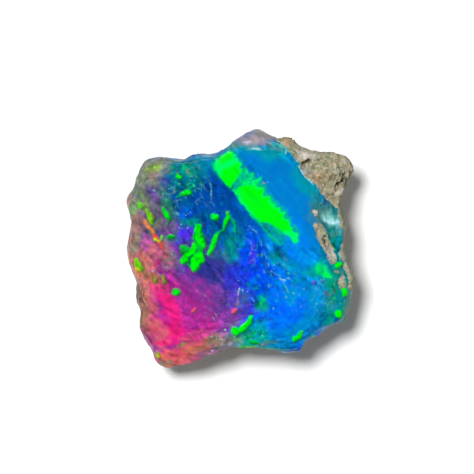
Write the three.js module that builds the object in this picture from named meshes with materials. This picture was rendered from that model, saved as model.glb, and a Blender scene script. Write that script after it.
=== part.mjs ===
// A rough precious opal: one broken piece of gem opal with its sandy host rock still grown to
// the right-hand edge, the upper right corner and the underside.
//
// Frame: millimetres, +Z up, +Y towards the pointed end. The stone lies on the flat break of
// its underside, which is the plane z = 0, and the origin is the centre of its footprint.
//
// The solid is one closed skin, made by bending an evenly divided ball into the stone. The top
// of the ball becomes the upper face, its belt the side wall and its bottom the underside.
// Breakage then roughens the wall, flattens it along breaks and springs chips out of it.

import * as THREE from "three";
import { mergeVertices } from "three/addons/utils/BufferGeometryUtils.js";

// ---------------------------------------------------------------- driving dimensions, mm

const WIDTH = 22.85; // along X, at the widest line
const LENGTH = 23.95; // along Y, at the widest line
const UPPER_FACE_Z = 7.3; // height of the upper face at the middle of the stone
const FACE_RISE_X = 0.035; // the upper face rises this much for each mm towards +X
const FACE_RISE_Y = 0.06; // and this much for each mm towards +Y
const RELAX_ROUNDS = 1; // how often the broken skin is evened out
const RELAX_SHARE = 0.42; // and how much each time
const FLAT_TRIM = 0.03; // the underside is ground off flat at this height, which becomes z = 0
const SKIN_DETAIL = 21; // the ball has 20 x (detail + 1) x (detail + 1) triangles

// The widest line of the stone, seen from above, clockwise from the pointed end.
const OUTLINE = [
  // the point and the crest of host rock to its right
  [1.58, 11.98], [2.38, 11.63], [3.08, 11.23], [3.68, 10.98], [4.38, 11.13], [4.98, 10.98],
  [5.88, 10.13], [6.88, 9.78], [7.88, 9.58], [9.18, 9.63], [10.38, 9.28], [10.88, 8.73],
  // the knob of host rock, then the right-hand edge
  [11.43, 7.63], [10.98, 6.83], [10.83, 6.13], [10.48, 5.23], [9.88, 4.08], [10.23, 3.23],
  [10.38, 2.13], [10.23, 0.83], [10.18, -0.78], [10.58, -1.78], [11.08, -3.08],
  [10.88, -4.08], [10.73, -5.28], [10.38, -6.38], [9.88, -7.13],
  // the lower edge, with its notch
  [8.78, -7.78], [7.78, -8.28], [6.98, -9.03], [6.38, -9.18], [6.08, -9.83], [5.28, -10.23],
  [4.18, -10.23], [2.88, -9.83], [1.08, -9.88], [-0.33, -9.96], [-1.53, -10.18],
  [-3.33, -10.73], [-5.13, -11.43], [-7.13, -11.98],
  // the lower left corner and the left-hand edge
  [-8.13, -11.58], [-8.63, -10.98], [-8.88, -10.03], [-9.63, -9.18], [-10.18, -7.98],
  [-9.98, -6.28], [-10.43, -5.18], [-10.53, -4.38], [-10.38, -3.78], [-10.83, -2.38],
  [-11.28, -0.98], [-11.38, 0.43], [-11.13, 1.83], [-10.93, 2.48], [-11.33, 3.73],
  [-11.43, 4.73],
  // the upper left lobe and the upper edge
  [-10.93, 5.63], [-10.33, 7.43], [-9.73, 8.53], [-8.93, 9.18], [-7.93, 9.13], [-6.13, 8.93],
  [-5.13, 9.2], [-4.23, 9.5], [-2.63, 9.53], [-1.23, 10.28], [0.18, 11.38],
];
const POINTED_END = 82.5; // bearing of the first point of OUTLINE

// How the side wall runs, by bearing. shoulder is how far the upper face stops short of the
// widest line, widest is that line's height, and foot is how far the wall comes back in below.
const WALL = [
  { bearing: 0, shoulder: 0.7, widest: 3.9, foot: 1.7 },
  { bearing: 40, shoulder: 0.9, widest: 4.9, foot: 2.2 },
  { bearing: 75, shoulder: 0.7, widest: 4.4, foot: 1.9 },
  { bearing: 110, shoulder: 0.6, widest: 4.2, foot: 2.4 },
  { bearing: 145, shoulder: 1.1, widest: 3.4, foot: 1.5 },
  { bearing: 175, shoulder: 0.8, widest: 3.0, foot: 1.2 },
  { bearing: 205, shoulder: 0.6, widest: 2.8, foot: 1.1 },
  { bearing: 235, shoulder: 0.5, widest: 3.2, foot: 1.5 },
  { bearing: 265, shoulder: 0.5, widest: 4.2, foot: 2.0 },
  { bearing: 300, shoulder: 0.6, widest: 3.8, foot: 1.8 },
  { bearing: 330, shoulder: 0.7, widest: 3.2, foot: 1.5 },
];
const INWARD_TO_MIDDLE = 0.6; // the wall leans in square to the edge at 0, to the middle at 1
const SHOULDER_FULLNESS = 1.5; // 1 is a true quarter round, more is squarer
const FOOT_FULLNESS = 1.1;
const FOOT_Z = 0.25; // the wall ends this far above the underside

// Flats that bevel the upper face: each plane passes through a point and falls away at tilt
// degrees towards a bearing.
const BEVELS = [
  { through: [1.0, 9.75, 7.85], tilt: 36, towards: 92 }, // milky facet below the point
  { through: [-7.6, 6.2, 6.95], tilt: 20, towards: 142 }, // upper left lobe
  { through: [-9.7, 0.5, 6.7], tilt: 36, towards: 178 }, // left-hand edge
  { through: [-7.2, -8.6, 6.0], tilt: 17, towards: 228 }, // lower left corner
  { through: [2.0, -8.9, 6.6], tilt: 30, towards: 268 }, // lower edge
  { through: [8.4, -5.4, 6.95], tilt: 24, towards: 318 }, // lower right corner
  { through: [9.6, 7.4, 7.7], tilt: 34, towards: 5 }, // outer side of the knob
  { through: [9.2, -0.8, 7.1], tilt: 26, towards: 0 }, // right-hand edge
];
const BEVEL_ROUNDING = 0.4; // size of the rounded edge between two flats

// The same for the underside: each plane rises at tilt degrees towards a bearing, and what no
// plane lifts is the flat break that the stone rests on.
const UNDERCUTS = [
  { through: [5.8, 0.8, 0], tilt: 15, towards: 8 },
  { through: [4.6, 4.6, 0], tilt: 21, towards: 44 },
  { through: [0.8, 5.8, 0], tilt: 14, towards: 84 },
  { through: [-3.2, 6.0, 0], tilt: 19, towards: 120 },
  { through: [-6.2, 3.4, 0], tilt: 20, towards: 154 },
  { through: [-7.4, -1.8, 0], tilt: 17, towards: 192 },
  { through: [-5.9, -6.2, 0], tilt: 14, towards: 230 },
  { through: [-0.8, -6.6, 0], tilt: 19, towards: 266 },
  { through: [4.2, -5.4, 0], tilt: 15, towards: 306 },
  { through: [6.8, -3.0, 0], tilt: 20, towards: 338 },
];

// Gentle swells and hollows of the upper face. long and wide are the half lengths of the form,
// turn is its bearing and rise its height, with hollows below zero.
const SWELLS = [
  { at: [-2.6, 1.6], long: 8.5, wide: 2.0, turn: -58, rise: -0.6 }, // valley across the face
  { at: [4.6, 3.4], long: 6.5, wide: 3.6, turn: -50, rise: 0.5 }, // smooth dome on the right
  { at: [-5.6, -5.6], long: 4.6, wide: 3.6, turn: 35, rise: 0.5 }, // swell, lower left
  { at: [-5.2, 3.2], long: 2.6, wide: 1.2, turn: -70, rise: 0.35 }, // rib beside the valley
  { at: [-8.6, 2.6], long: 2.2, wide: 1.1, turn: -60, rise: -0.35 }, // dint by the left edge
  { at: [3.2, -4.4], long: 3.0, wide: 1.2, turn: 60, rise: -0.3 }, // fold, lower middle
  { at: [0.6, -7.0], long: 3.4, wide: 1.0, turn: 25, rise: -0.32 }, // fold by the lower edge
  { at: [6.4, -5.0], long: 2.6, wide: 2.2, turn: 0, rise: 0.25 }, // swell, lower right
  { at: [9.5, 8.0], long: 1.7, wide: 1.2, turn: 40, rise: 0.75 }, // the knob
  { at: [4.9, 10.1], long: 1.6, wide: 0.7, turn: -35, rise: 0.35 }, // the crest
];

// Where host rock shows on the upper face, as closed lines seen from above. Past the stone's
// edge they only have to lie outside it. The opal stands a little proud of the rock beside it.
const ROCK_AREAS = [
  [ // the crest and the knob
    [2.3, 11.7], [3.1, 10.9], [4.3, 10.1], [5.4, 9.0], [6.2, 7.6], [6.9, 6.9], [7.9, 5.5],
    [8.6, 4.8], [9.4, 4.1], [10.4, 3.6], [13.4, 4.8], [13.4, 11.8], [5.9, 13.8], [2.3, 12.8],
  ],
  [ // the strip beside the glassy hollow
    [7.5, 4.2], [7.2, 3.4], [7.2, 2.4], [7.4, 1.0], [7.9, 0.0], [8.5, -1.4], [9.2, -1.4],
    [9.0, -0.2], [8.6, 1.0], [8.1, 2.0], [7.9, 3.0],
  ],
];
const ROCK_STEP = 0.38; // how far the rock lies below the opal
const ROCK_STEP_WIDTH = 0.6; // how wide the step is

// Flat breaks of the lower side wall, spread round the stone by the golden angle. Each starts
// between the widest line and the underside, and faces outwards and, by its dip, downwards.
const BREAK_COUNT = 46;
const GOLDEN_ANGLE = 137.508;
const BREAK_DIP = [16, 26]; // the middle of its range and how far it varies either way
const BREAK_INSET = [0.75, 0.45]; // how far in from the widest line it starts
const BREAK_DROP = [1.5, 1.3]; // how far below the widest line it starts
const BREAK_SKEW = 26; // how far a break turns from facing straight out
const BREAK_REACH = 2.9; // how far a break runs to either side
const BREAK_CORE = 0.6; // share of the reach over which it is quite flat
const BREAK_TOP = 0.8; // and it is so from this far below the widest line

// Hollows where a chip has sprung out. A ball of this radius, set back towards the outside,
// bites depth mm into the surface at that place.
const CHIPS = [
  { at: [8.95, 2.9, 7.1], radius: 2.0, depth: 0.5, towards: [0.2, 0.1, 1] }, // glassy hollow
  { at: [9.3, 0.9, 6.9], radius: 1.8, depth: 0.3, towards: [0.3, -0.1, 1] }, // and the next
  { at: [10.4, 4.4, 5.2], radius: 2.2, depth: 0.5, towards: [1, 0.1, 0.2] }, // below the knob
  { at: [10.9, 6.4, 5.6], radius: 1.6, depth: 0.5, towards: [1, -0.2, 0.25] }, // in the knob
  { at: [6.6, -9.6, 4.9], radius: 2.0, depth: 0.55, towards: [0.4, -1, 0.2] }, // lower notch
  { at: [-10.5, -4.6, 4.9], radius: 1.6, depth: 0.6, towards: [-1, 0, 0.6] }, // left ledge
  { at: [-11.2, 2.4, 4.2], radius: 2.0, depth: 0.4, towards: [-1, 0, 0.2] }, // left notch
  { at: [-3.2, 9.6, 3.0], radius: 5.0, depth: 0.75, towards: [0, 1, -0.25] }, // upper wall
  { at: [-3.0, -10.6, 2.2], radius: 5.0, depth: 0.7, towards: [-0.2, -1, -0.25] }, // lower wall
  { at: [10.5, -3.4, 2.2], radius: 4.0, depth: 0.7, towards: [1, -0.1, -0.3] }, // right wall
  { at: [-10.9, -0.6, 1.9], radius: 3.6, depth: 0.6, towards: [-1, 0.1, -0.4] }, // left wall
  { at: [8.6, 9.2, 3.0], radius: 3.4, depth: 0.9, towards: [0.5, 0.8, -0.35] }, // under the knob
  { at: [8.6, -8.0, 3.0], radius: 3.6, depth: 0.6, towards: [0.7, -0.7, -0.2] }, // corner wall
];

// Roughness of the broken surfaces: height of the lumps and the distance between them.
const WALL_LUMP = 0.5;
const WALL_LUMP_SIZE = 2.4;
const WALL_RIDGE = 0.42;
const WALL_RIDGE_SIZE = 3.3;
const WALL_PIT = 0.55;
const WALL_PIT_SIZE = 1.5;
const PIT_RARITY = 0.3; // 0 pits half of the wall, 1 none of it
const CREST_LEVEL = 0.4; // the height of a crest that is neither raised nor sunk
const FULL_FROM_EDGE = 0.7; // roughness is full this far from the upper face and the underside
const FULL_FROM_LINE = 1.3; // and this far above or below the widest line
const LEFT_AT_LINE = 0.3; // share of it that is left at the line
const FACE_LUMP = 0.1;
const FACE_LUMP_SIZE = 3.4;
const UNDERSIDE_LUMP = 0.5;
const UNDERSIDE_LUMP_SIZE = 2.4;
const UNDERSIDE_BEND = 1.6; // how far the edges of the undercuts wander
const UNDERSIDE_BEND_SIZE = 3.6;
const ROCK_LUMP = 0.42;
const ROCK_LUMP_SIZE = 1.5;

// ---------------------------------------------------------------- small helpers

const { clamp, degToRad, radToDeg, euclideanModulo, lerp, smoothstep } = THREE.MathUtils;

// The bearing of a point from the middle of the stone, in degrees; 0 is +X and 90 is +Y.
const bearingOf = ({ x, y }) => radToDeg(Math.atan2(y, x));

// A unit vector at a bearing and an elevation, both in degrees.
function heading(bearing, elevation = 0) {
  const flat = Math.cos(degToRad(elevation));
  const [c, s] = [Math.cos(degToRad(bearing)), Math.sin(degToRad(bearing))];
  return new THREE.Vector3(c * flat, s * flat, Math.sin(degToRad(elevation)));
}

// A repeatable number from -1 to 1 for each point of a whole-number lattice.
function lattice(x, y, z) {
  let h = Math.imul(x, 374761393) ^ Math.imul(y, 668265263) ^ Math.imul(z, 1274126177);
  h = Math.imul(h ^ (h >>> 13), 1103515245);
  h ^= h >>> 16;
  return ((h >>> 0) / 0xffffffff) * 2 - 1;
}

// Smooth noise from -1 to 1 whose lumps are about size mm apart.
function noise(point, size) {
  const [x, y, z] = [point.x / size, point.y / size, point.z / size];
  const [ix, iy, iz] = [Math.floor(x), Math.floor(y), Math.floor(z)];
  const fade = (t) => t * t * (3 - 2 * t);
  const [u, v, w] = [fade(x - ix), fade(y - iy), fade(z - iz)];
  let sum = 0;
  for (let corner = 0; corner < 8; corner++) {
    const [dx, dy, dz] = [corner & 1, (corner >> 1) & 1, corner >> 2];
    const weight = (dx ? u : 1 - u) * (dy ? v : 1 - v) * (dz ? w : 1 - w);
    sum += weight * lattice(ix + dx, iy + dy, iz + dz);
  }
  return sum;
}

// Noise with lumps of two sizes, the second half as large and half as high.
const lumps = (point, size) => (noise(point, size) + noise(point, size / 2) / 2) / 1.5;

// Noise that is highest, at 1, along sharp winding crests.
const crests = (point, size) => 1 - 2 * Math.abs(noise(point, size));

// The lesser of two heights, with the edge between them rounded over about r mm.
function softMin(a, b, r) {
  const h = Math.max(r - Math.abs(a - b), 0) / r;
  return Math.min(a, b) - (h * h * r) / 4;
}

// ---------------------------------------------------------------- widest line and side wall

const widestLine = new THREE.CatmullRomCurve3(
  OUTLINE.map(([x, y]) => new THREE.Vector3(x, y, 0)), true, "centripetal",
);
widestLine.arcLengthDivisions = 2000;

// A point of the widest line, with the way into the stone from there. turn goes round the line
// anticlockwise by its length, 360 in all, and is nearly the point's bearing.
function stationAt(turn) {
  const share = euclideanModulo(POINTED_END - turn, 360) / 360;
  const point = widestLine.getPointAt(share);
  const along = widestLine.getTangentAt(share);
  const toMiddle = point.clone().negate().normalize();
  const inward = new THREE.Vector3(along.y, -along.x, 0).lerp(toMiddle, INWARD_TO_MIDDLE).normalize();
  return { point, inward, ...wallAt(bearingOf(point)) };
}

// shoulder, widest and foot at a bearing, eased between the rows of WALL.
function wallAt(bearing) {
  const turn = euclideanModulo(bearing, 360);
  let i = WALL.length - 1;
  while (i > 0 && WALL[i].bearing > turn) i--;
  const [a, b] = [WALL[i], WALL[(i + 1) % WALL.length]];
  const t = smoothstep((turn - a.bearing) / euclideanModulo(b.bearing - a.bearing, 360), 0, 1);
  return {
    shoulder: lerp(a.shoulder, b.shoulder, t),
    widest: lerp(a.widest, b.widest, t),
    foot: lerp(a.foot, b.foot, t),
  };
}

// ---------------------------------------------------------------- upper face and underside

// How far a point lies inside a closed line, in mm; below zero is outside it.
function depthInside(line, x, y) {
  let nearest = Infinity;
  let inside = false;
  line.forEach(([ax, ay], i) => {
    const [bx, by] = line[(i + 1) % line.length];
    const [dx, dy] = [bx - ax, by - ay];
    const t = clamp(((x - ax) * dx + (y - ay) * dy) / (dx * dx + dy * dy), 0, 1);
    nearest = Math.min(nearest, Math.hypot(x - ax - t * dx, y - ay - t * dy));
    if (ay > y !== by > y && x < ax + ((y - ay) / dy) * dx) inside = !inside;
  });
  return inside ? nearest : -nearest;
}

const intoRock = (x, y) => Math.max(...ROCK_AREAS.map((line) => depthInside(line, x, y)));

function swellHeight({ at, long, wide, turn, rise }, x, y) {
  const { x: c, y: s } = heading(turn);
  const u = ((x - at[0]) * c + (y - at[1]) * s) / long;
  const v = ((y - at[1]) * c - (x - at[0]) * s) / wide;
  return rise * Math.exp(-(u * u + v * v));
}

// Height of a plane that falls away towards a bearing.
function planeHeight({ through, tilt, towards }, x, y) {
  const { x: c, y: s } = heading(towards);
  const out = (x - through[0]) * c + (y - through[1]) * s;
  return through[2] - Math.tan(degToRad(tilt)) * out;
}

function upperFace(x, y) {
  const point = new THREE.Vector3(x, y, 0);
  let z = UPPER_FACE_Z + FACE_RISE_X * x + FACE_RISE_Y * y;
  for (const swell of SWELLS) z += swellHeight(swell, x, y);
  z += FACE_LUMP * lumps(point, FACE_LUMP_SIZE);
  for (const bevel of BEVELS) z = softMin(z, planeHeight(bevel, x, y), BEVEL_ROUNDING);
  const rock = smoothstep(intoRock(x, y), 0, ROCK_STEP_WIDTH);
  return z - rock * (ROCK_STEP - ROCK_LUMP * lumps(point, ROCK_LUMP_SIZE));
}

function underside(x, y) {
  const point = new THREE.Vector3(x, y, 0);
  const bend = UNDERSIDE_BEND * noise(point, UNDERSIDE_BEND_SIZE);
  let z = 0;
  for (const cut of UNDERCUTS) z = Math.max(z, -planeHeight(cut, x + bend, y - bend));
  const lump = UNDERSIDE_LUMP * lumps(point, UNDERSIDE_LUMP_SIZE);
  return z + lump * smoothstep(z, 0, UNDERSIDE_LUMP);
}

// ---------------------------------------------------------------- the skin before breakage

// Heights of the ball, from 1 at its top to -1 at its bottom, between which the belt becomes
// the side wall. They share the triangles out evenly over the stone.
const BELT_TOP = 0.34;
const BELT_BOTTOM = -0.5;

// Where the skin lies for a point of the ball.
function skinPoint(onBall) {
  const { point, inward, shoulder, widest, foot } = stationAt(bearingOf(onBall));
  const shoulderAt = point.clone().addScaledVector(inward, shoulder);
  const footAt = point.clone().addScaledVector(inward, foot);
  if (onBall.z >= BELT_TOP) {
    const share = Math.sqrt((1 - onBall.z) / (1 - BELT_TOP));
    shoulderAt.multiplyScalar(share);
    return shoulderAt.setZ(upperFace(shoulderAt.x, shoulderAt.y));
  }
  if (onBall.z <= BELT_BOTTOM) {
    const share = Math.sqrt(Math.max(0, 1 + onBall.z) / (1 + BELT_BOTTOM));
    footAt.multiplyScalar(share);
    return footAt.setZ(underside(footAt.x, footAt.y) + FOOT_Z * smoothstep(share, 0.85, 1));
  }
  // Down the wall: a quarter round out to the widest line, then one down and in to the foot.
  const down = (BELT_TOP - onBall.z) / (BELT_TOP - BELT_BOTTOM);
  const a = Math.abs(2 * down - 1) * (Math.PI / 2);
  const above = down < 0.5;
  const [end, inset, full] = above
    ? [upperFace(shoulderAt.x, shoulderAt.y), shoulder, SHOULDER_FULLNESS]
    : [underside(footAt.x, footAt.y) + FOOT_Z, foot, FOOT_FULLNESS];
  const skin = point.clone().addScaledVector(inward, inset * (1 - Math.cos(a) ** (1 / full)));
  return skin.setZ(lerp(widest, end, Math.sin(a) ** (1 / full)));
}

// ---------------------------------------------------------------- breakage

// Lumps, crests and pits of the side wall. They fade out towards the upper face and the flat
// break, and stay low near the widest line so that the outline keeps its shape.
function roughness(point) {
  const top = upperFace(point.x, point.y);
  const offEdges = smoothstep(Math.min(point.z, top - point.z), 0, FULL_FROM_EDGE);
  const fromLine = Math.abs(point.z - wallAt(bearingOf(point)).widest);
  const offLine = lerp(LEFT_AT_LINE, 1, smoothstep(fromLine, 0, FULL_FROM_LINE));
  const lump = WALL_LUMP * lumps(point, WALL_LUMP_SIZE);
  const ridge = WALL_RIDGE * (crests(point, WALL_RIDGE_SIZE) - CREST_LEVEL);
  const pit = WALL_PIT * Math.max(0, noise(point, WALL_PIT_SIZE) - PIT_RARITY);
  return (lump + ridge - pit) * offEdges * offLine;
}

// A value that varies evenly either way of its middle, repeatable for each break.
const varied = ([middle, spread], index, salt) => middle + spread * lattice(index, salt, 7);

const breaks = Array.from({ length: BREAK_COUNT }, (_, index) => {
  const { point, inward, widest } = stationAt(index * GOLDEN_ANGLE);
  const bearing = bearingOf(inward) + 180 + varied([0, BREAK_SKEW], index, 1);
  const start = point.clone().addScaledVector(inward, varied(BREAK_INSET, index, 2));
  start.setZ(widest - varied(BREAK_DROP, index, 4));
  return { start, widest, facing: heading(bearing, -varied(BREAK_DIP, index, 3)) };
});

// Lays a point of the lower wall back towards a break's plane if it stands outside it.
function flatten(point, { start, widest, facing }) {
  const from = point.clone().sub(start);
  const proud = from.dot(facing);
  if (proud <= 0) return;
  const within = 1 - smoothstep(Math.hypot(from.x, from.y), BREAK_REACH * BREAK_CORE, BREAK_REACH);
  const below = smoothstep(widest - point.z, 0, BREAK_TOP);
  point.addScaledVector(facing, -proud * within * below);
}

// Pushes a point of the skin out of a chip's ball, straight into the stone.
function chipAway(point, { at, radius, depth, towards }) {
  const out = new THREE.Vector3(...towards).normalize();
  const centre = new THREE.Vector3(...at).addScaledVector(out, radius - depth);
  const from = point.clone().sub(centre);
  if (from.length() > radius) return;
  const along = from.dot(out);
  const reach = Math.sqrt(radius ** 2 - from.lengthSq() + along ** 2);
  point.addScaledVector(out, -(along + reach));
}

// Draws every point part of the way to the middle of its neighbours, to even out the breaks.
function relax(position, index, share) {
  const sums = Array.from({ length: position.count }, () => new THREE.Vector3());
  const counts = new Array(position.count).fill(0);
  const neighbour = new THREE.Vector3();
  for (let i = 0; i < index.count; i++) {
    const next = i % 3 === 2 ? i - 2 : i + 1;
    const [from, to] = [index.getX(i), index.getX(next)];
    sums[from].add(neighbour.fromBufferAttribute(position, to));
    counts[from] += 1;
  }
  sums.forEach((sum, i) => {
    const point = new THREE.Vector3().fromBufferAttribute(position, i);
    point.lerp(sum.divideScalar(counts[i]), share);
    position.setXYZ(i, point.x, point.y, point.z);
  });
}

// ---------------------------------------------------------------- the stone

function stoneGeometry() {
  const ball = new THREE.IcosahedronGeometry(1, SKIN_DETAIL);
  ball.deleteAttribute("normal");
  ball.deleteAttribute("uv");
  const geometry = mergeVertices(ball, 1e-4);
  const position = geometry.getAttribute("position");
  const point = new THREE.Vector3();
  for (let i = 0; i < position.count; i++) {
    const skin = skinPoint(point.fromBufferAttribute(position, i));
    position.setXYZ(i, skin.x, skin.y, skin.z);
  }
  geometry.computeVertexNormals();
  const normal = geometry.getAttribute("normal").clone();
  for (let i = 0; i < position.count; i++) {
    point.fromBufferAttribute(position, i);
    point.addScaledVector(new THREE.Vector3().fromBufferAttribute(normal, i), roughness(point));
    for (const each of breaks) flatten(point, each);
    for (const chip of CHIPS) chipAway(point, chip);
    position.setXYZ(i, point.x, point.y, point.z);
  }
  for (let round = 0; round < RELAX_ROUNDS; round++) relax(position, geometry.index, RELAX_SHARE);
  // The flat break is exactly flat.
  for (let i = 0; i < position.count; i++) position.setZ(i, Math.max(position.getZ(i), FLAT_TRIM));
  // Exactly its width and length, with the origin at the centre of its footprint.
  geometry.computeBoundingBox();
  const { min, max } = geometry.boundingBox;
  geometry.translate(-(min.x + max.x) / 2, -(min.y + max.y) / 2, -min.z);
  geometry.scale(WIDTH / (max.x - min.x), LENGTH / (max.y - min.y), 1);
  geometry.computeVertexNormals();
  return geometry;
}

const stone = new THREE.Mesh(
  stoneGeometry(),
  new THREE.MeshStandardMaterial({ color: 0x1f62c4, roughness: 0.18, metalness: 0 }),
);
stone.name = "opal_stone";

const part = new THREE.Group();
part.add(stone);

export default part;
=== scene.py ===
# %% [markdown]
# # A rough opal, finished in Blender
#
# The stone is one natural piece: clear-bodied precious opal, with a little of the sandy host
# rock it formed in still grown to it. Its shape arrives ready-made as a faceted solid. This
# lesson turns that solid into a fine mesh, gives it the small relief of broken opal and of
# sandy rock, and paints the play of colour that makes opal what it is.
#
# Everything on the stone is measured in millimetres, in its own frame: +Z up, +Y towards the
# pointed end, and the origin in the middle of the face it rests on.

# %% Load the frame
import math

import bmesh
import bpy
import numpy as np
from mathutils import Matrix, Vector


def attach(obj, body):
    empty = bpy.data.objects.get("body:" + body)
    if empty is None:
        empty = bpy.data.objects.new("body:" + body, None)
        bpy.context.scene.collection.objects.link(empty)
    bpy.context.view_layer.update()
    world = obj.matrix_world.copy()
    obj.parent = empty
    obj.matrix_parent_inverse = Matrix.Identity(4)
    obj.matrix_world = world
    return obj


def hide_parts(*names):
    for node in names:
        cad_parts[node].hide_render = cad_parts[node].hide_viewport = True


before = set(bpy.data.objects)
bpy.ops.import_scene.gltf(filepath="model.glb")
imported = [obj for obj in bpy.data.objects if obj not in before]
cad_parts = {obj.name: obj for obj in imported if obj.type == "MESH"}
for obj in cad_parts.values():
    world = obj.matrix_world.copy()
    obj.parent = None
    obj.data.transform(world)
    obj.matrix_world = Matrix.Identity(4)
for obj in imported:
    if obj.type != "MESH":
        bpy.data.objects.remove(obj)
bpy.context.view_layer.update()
MM = 0.001  # metres in a millimetre

# %% [markdown]
# ## A fine, even mesh
#
# The solid has about ten thousand flat faces, which show as facets in a glossy material. They
# could be hidden with smooth shading alone, but then there are too few points to carry grains
# and pits. A voxel remesh spreads small square faces evenly over the whole skin. A light
# smoothing afterwards takes the old facets away.

# %% Remesh the solid
NODE = "opal_stone"
WELD = 1e-4  # mm; points closer than this become one
VOXEL = 0.128  # mm between neighbouring points
SMOOTH_ROUNDS = 4


def fine_copy(solid, name):
    """A copy of a solid's mesh in millimetres, remeshed evenly, as a new object."""
    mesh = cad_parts[solid].data.copy()
    mesh.transform(Matrix.Scale(1 / MM, 4))
    welded = bmesh.new()
    welded.from_mesh(mesh)
    bmesh.ops.remove_doubles(welded, verts=welded.verts, dist=WELD)
    welded.to_mesh(mesh)
    welded.free()
    copy = bpy.data.objects.new(name, mesh)
    bpy.context.scene.collection.objects.link(copy)
    remesh = copy.modifiers.new("even_faces", "REMESH")
    remesh.mode = "VOXEL"
    remesh.voxel_size = VOXEL
    smooth = copy.modifiers.new("no_facets", "SMOOTH")
    smooth.iterations = SMOOTH_ROUNDS
    graph = bpy.context.evaluated_depsgraph_get()
    fine_mesh = bpy.data.meshes.new_from_object(copy.evaluated_get(graph))
    copy.modifiers.clear()
    copy.data = fine_mesh
    copy.data.materials.clear()
    return copy


stone = fine_copy(NODE, "rough_opal")
print("fine mesh:", len(stone.data.vertices), "points,", len(stone.data.polygons), "faces")

# %% [markdown]
# ## Helpers for shaping and painting
#
# Numpy arrays hold all the points at once, so that a rule is written once and worked out for
# every point together. These few helpers are the brushes for the rest of the lesson: a soft
# step from 0 to 1, smooth noise, and the cells that sand grains are made of. Two more measure
# how deep a point lies in a drawn shape, which is either a brush stroke or a closed outline.

# %% Read and write the points
def read_points(mesh):
    """Places and normals of the mesh's points, as two arrays of three columns."""
    places = np.empty(len(mesh.vertices) * 3, np.float32)
    normals = np.empty_like(places)
    mesh.vertices.foreach_get("co", places)
    mesh.vertices.foreach_get("normal", normals)
    return places.reshape(-1, 3).astype(float), normals.reshape(-1, 3).astype(float)


def write_points(mesh, places):
    """Moves the mesh's points to new places."""
    mesh.vertices.foreach_set("co", places.astype(np.float32).ravel())
    mesh.update()


places, normals = read_points(stone.data)
print("heights from", places[:, 2].min().round(2), "to", places[:, 2].max().round(2), "mm")

# %% Soft step and noise
MIX_X, MIX_Y, MIX_Z, MIX_SALT = 374761393, 668265263, 1274126177, 974634777  # large odd numbers
KEEP_32_BITS = 0xFFFFFFFF
KEEP_24_BITS = 0xFFFFFF


def soft_step(value, low, high):
    """0 below low, 1 above high, and an even curve between."""
    t = np.clip((value - low) / (high - low), 0, 1)
    return t * t * (3 - 2 * t)


def scatter(cell, salt):
    """A repeatable number from 0 to 1 for each whole-number cell; another salt, another number."""
    h = cell[:, 0] * MIX_X + cell[:, 1] * MIX_Y + cell[:, 2] * MIX_Z
    h = (h + salt * MIX_SALT) & KEEP_32_BITS
    h = ((h ^ (h >> 13)) * MIX_Z) & KEEP_32_BITS
    return ((h ^ (h >> 16)) & KEEP_24_BITS) / KEEP_24_BITS


def noise(points, size, salt=0):
    """Smooth noise from -1 to 1 whose lumps are about size mm apart."""
    scaled = points / size
    cell = np.floor(scaled).astype(np.int64)
    t = scaled - cell
    t = t * t * (3 - 2 * t)
    total = np.zeros(len(points))
    for corner in np.ndindex(2, 2, 2):
        corner = np.array(corner)
        weight = np.prod(np.where(corner, t, 1 - t), axis=1)
        total += weight * scatter(cell + corner, salt)
    return total * 2 - 1


def rough_noise(points, size, salt=0, octaves=4):
    """Noise with ever smaller and weaker lumps added."""
    shares = 0.5 ** np.arange(octaves)
    layers = [noise(points, size * share, salt + 7 * i) for i, share in enumerate(shares)]
    return np.tensordot(shares, layers, 1) / shares.sum()


def noise_arrows(points, size, *salts, octaves=4):
    """Rough noise as arrows to bend places with, one column for each salt."""
    return np.stack([rough_noise(points, size, salt, octaves) for salt in salts], axis=1)


def grains(points, size, salt=0):
    """Distance to the nearest grain's middle, in grain sizes, and a number for that grain."""
    scaled = points / size
    cell = np.floor(scaled).astype(np.int64)
    nearest = np.full(len(points), 9.0)
    number = np.zeros(len(points))
    for corner in np.ndindex(3, 3, 3):
        other = cell + np.array(corner) - 1
        middle = other + np.stack([scatter(other, salt + k) for k in range(3)], axis=1)
        distance = np.linalg.norm(scaled - middle, axis=1)
        closer = distance < nearest
        nearest = np.where(closer, distance, nearest)
        number = np.where(closer, scatter(other, salt + 3), number)
    return nearest, number


print("noise spans", noise(places, 2.0).min().round(2), "to", noise(places, 2.0).max().round(2))

# %% Shapes seen from above
FAR = 99.0  # mm, further than any point lies from a shape


def in_stroke(xy, stroke):
    """How far each point lies inside a brush stroke, in mm; below zero is outside it.

    A stroke is a list of (x, y, half width), or of (x, y) for a bare line. A single
    (x, y, radius) makes a round spot."""
    stroke = np.atleast_2d(np.array(stroke, float))
    stroke = np.pad(stroke, ((0, 0), (0, 3 - stroke.shape[1])))
    if len(stroke) == 1:
        return stroke[0, 2] - np.linalg.norm(xy - stroke[0, :2], axis=1)
    depth = np.full(len(xy), -FAR)
    for a, b in zip(stroke[:-1], stroke[1:]):
        run = b[:2] - a[:2]
        t = np.clip((xy - a[:2]) @ run / (run @ run), 0, 1)
        gap = np.linalg.norm(xy - a[:2] - t[:, None] * run, axis=1)
        depth = np.maximum(depth, a[2] + t * (b[2] - a[2]) - gap)
    return depth


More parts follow.
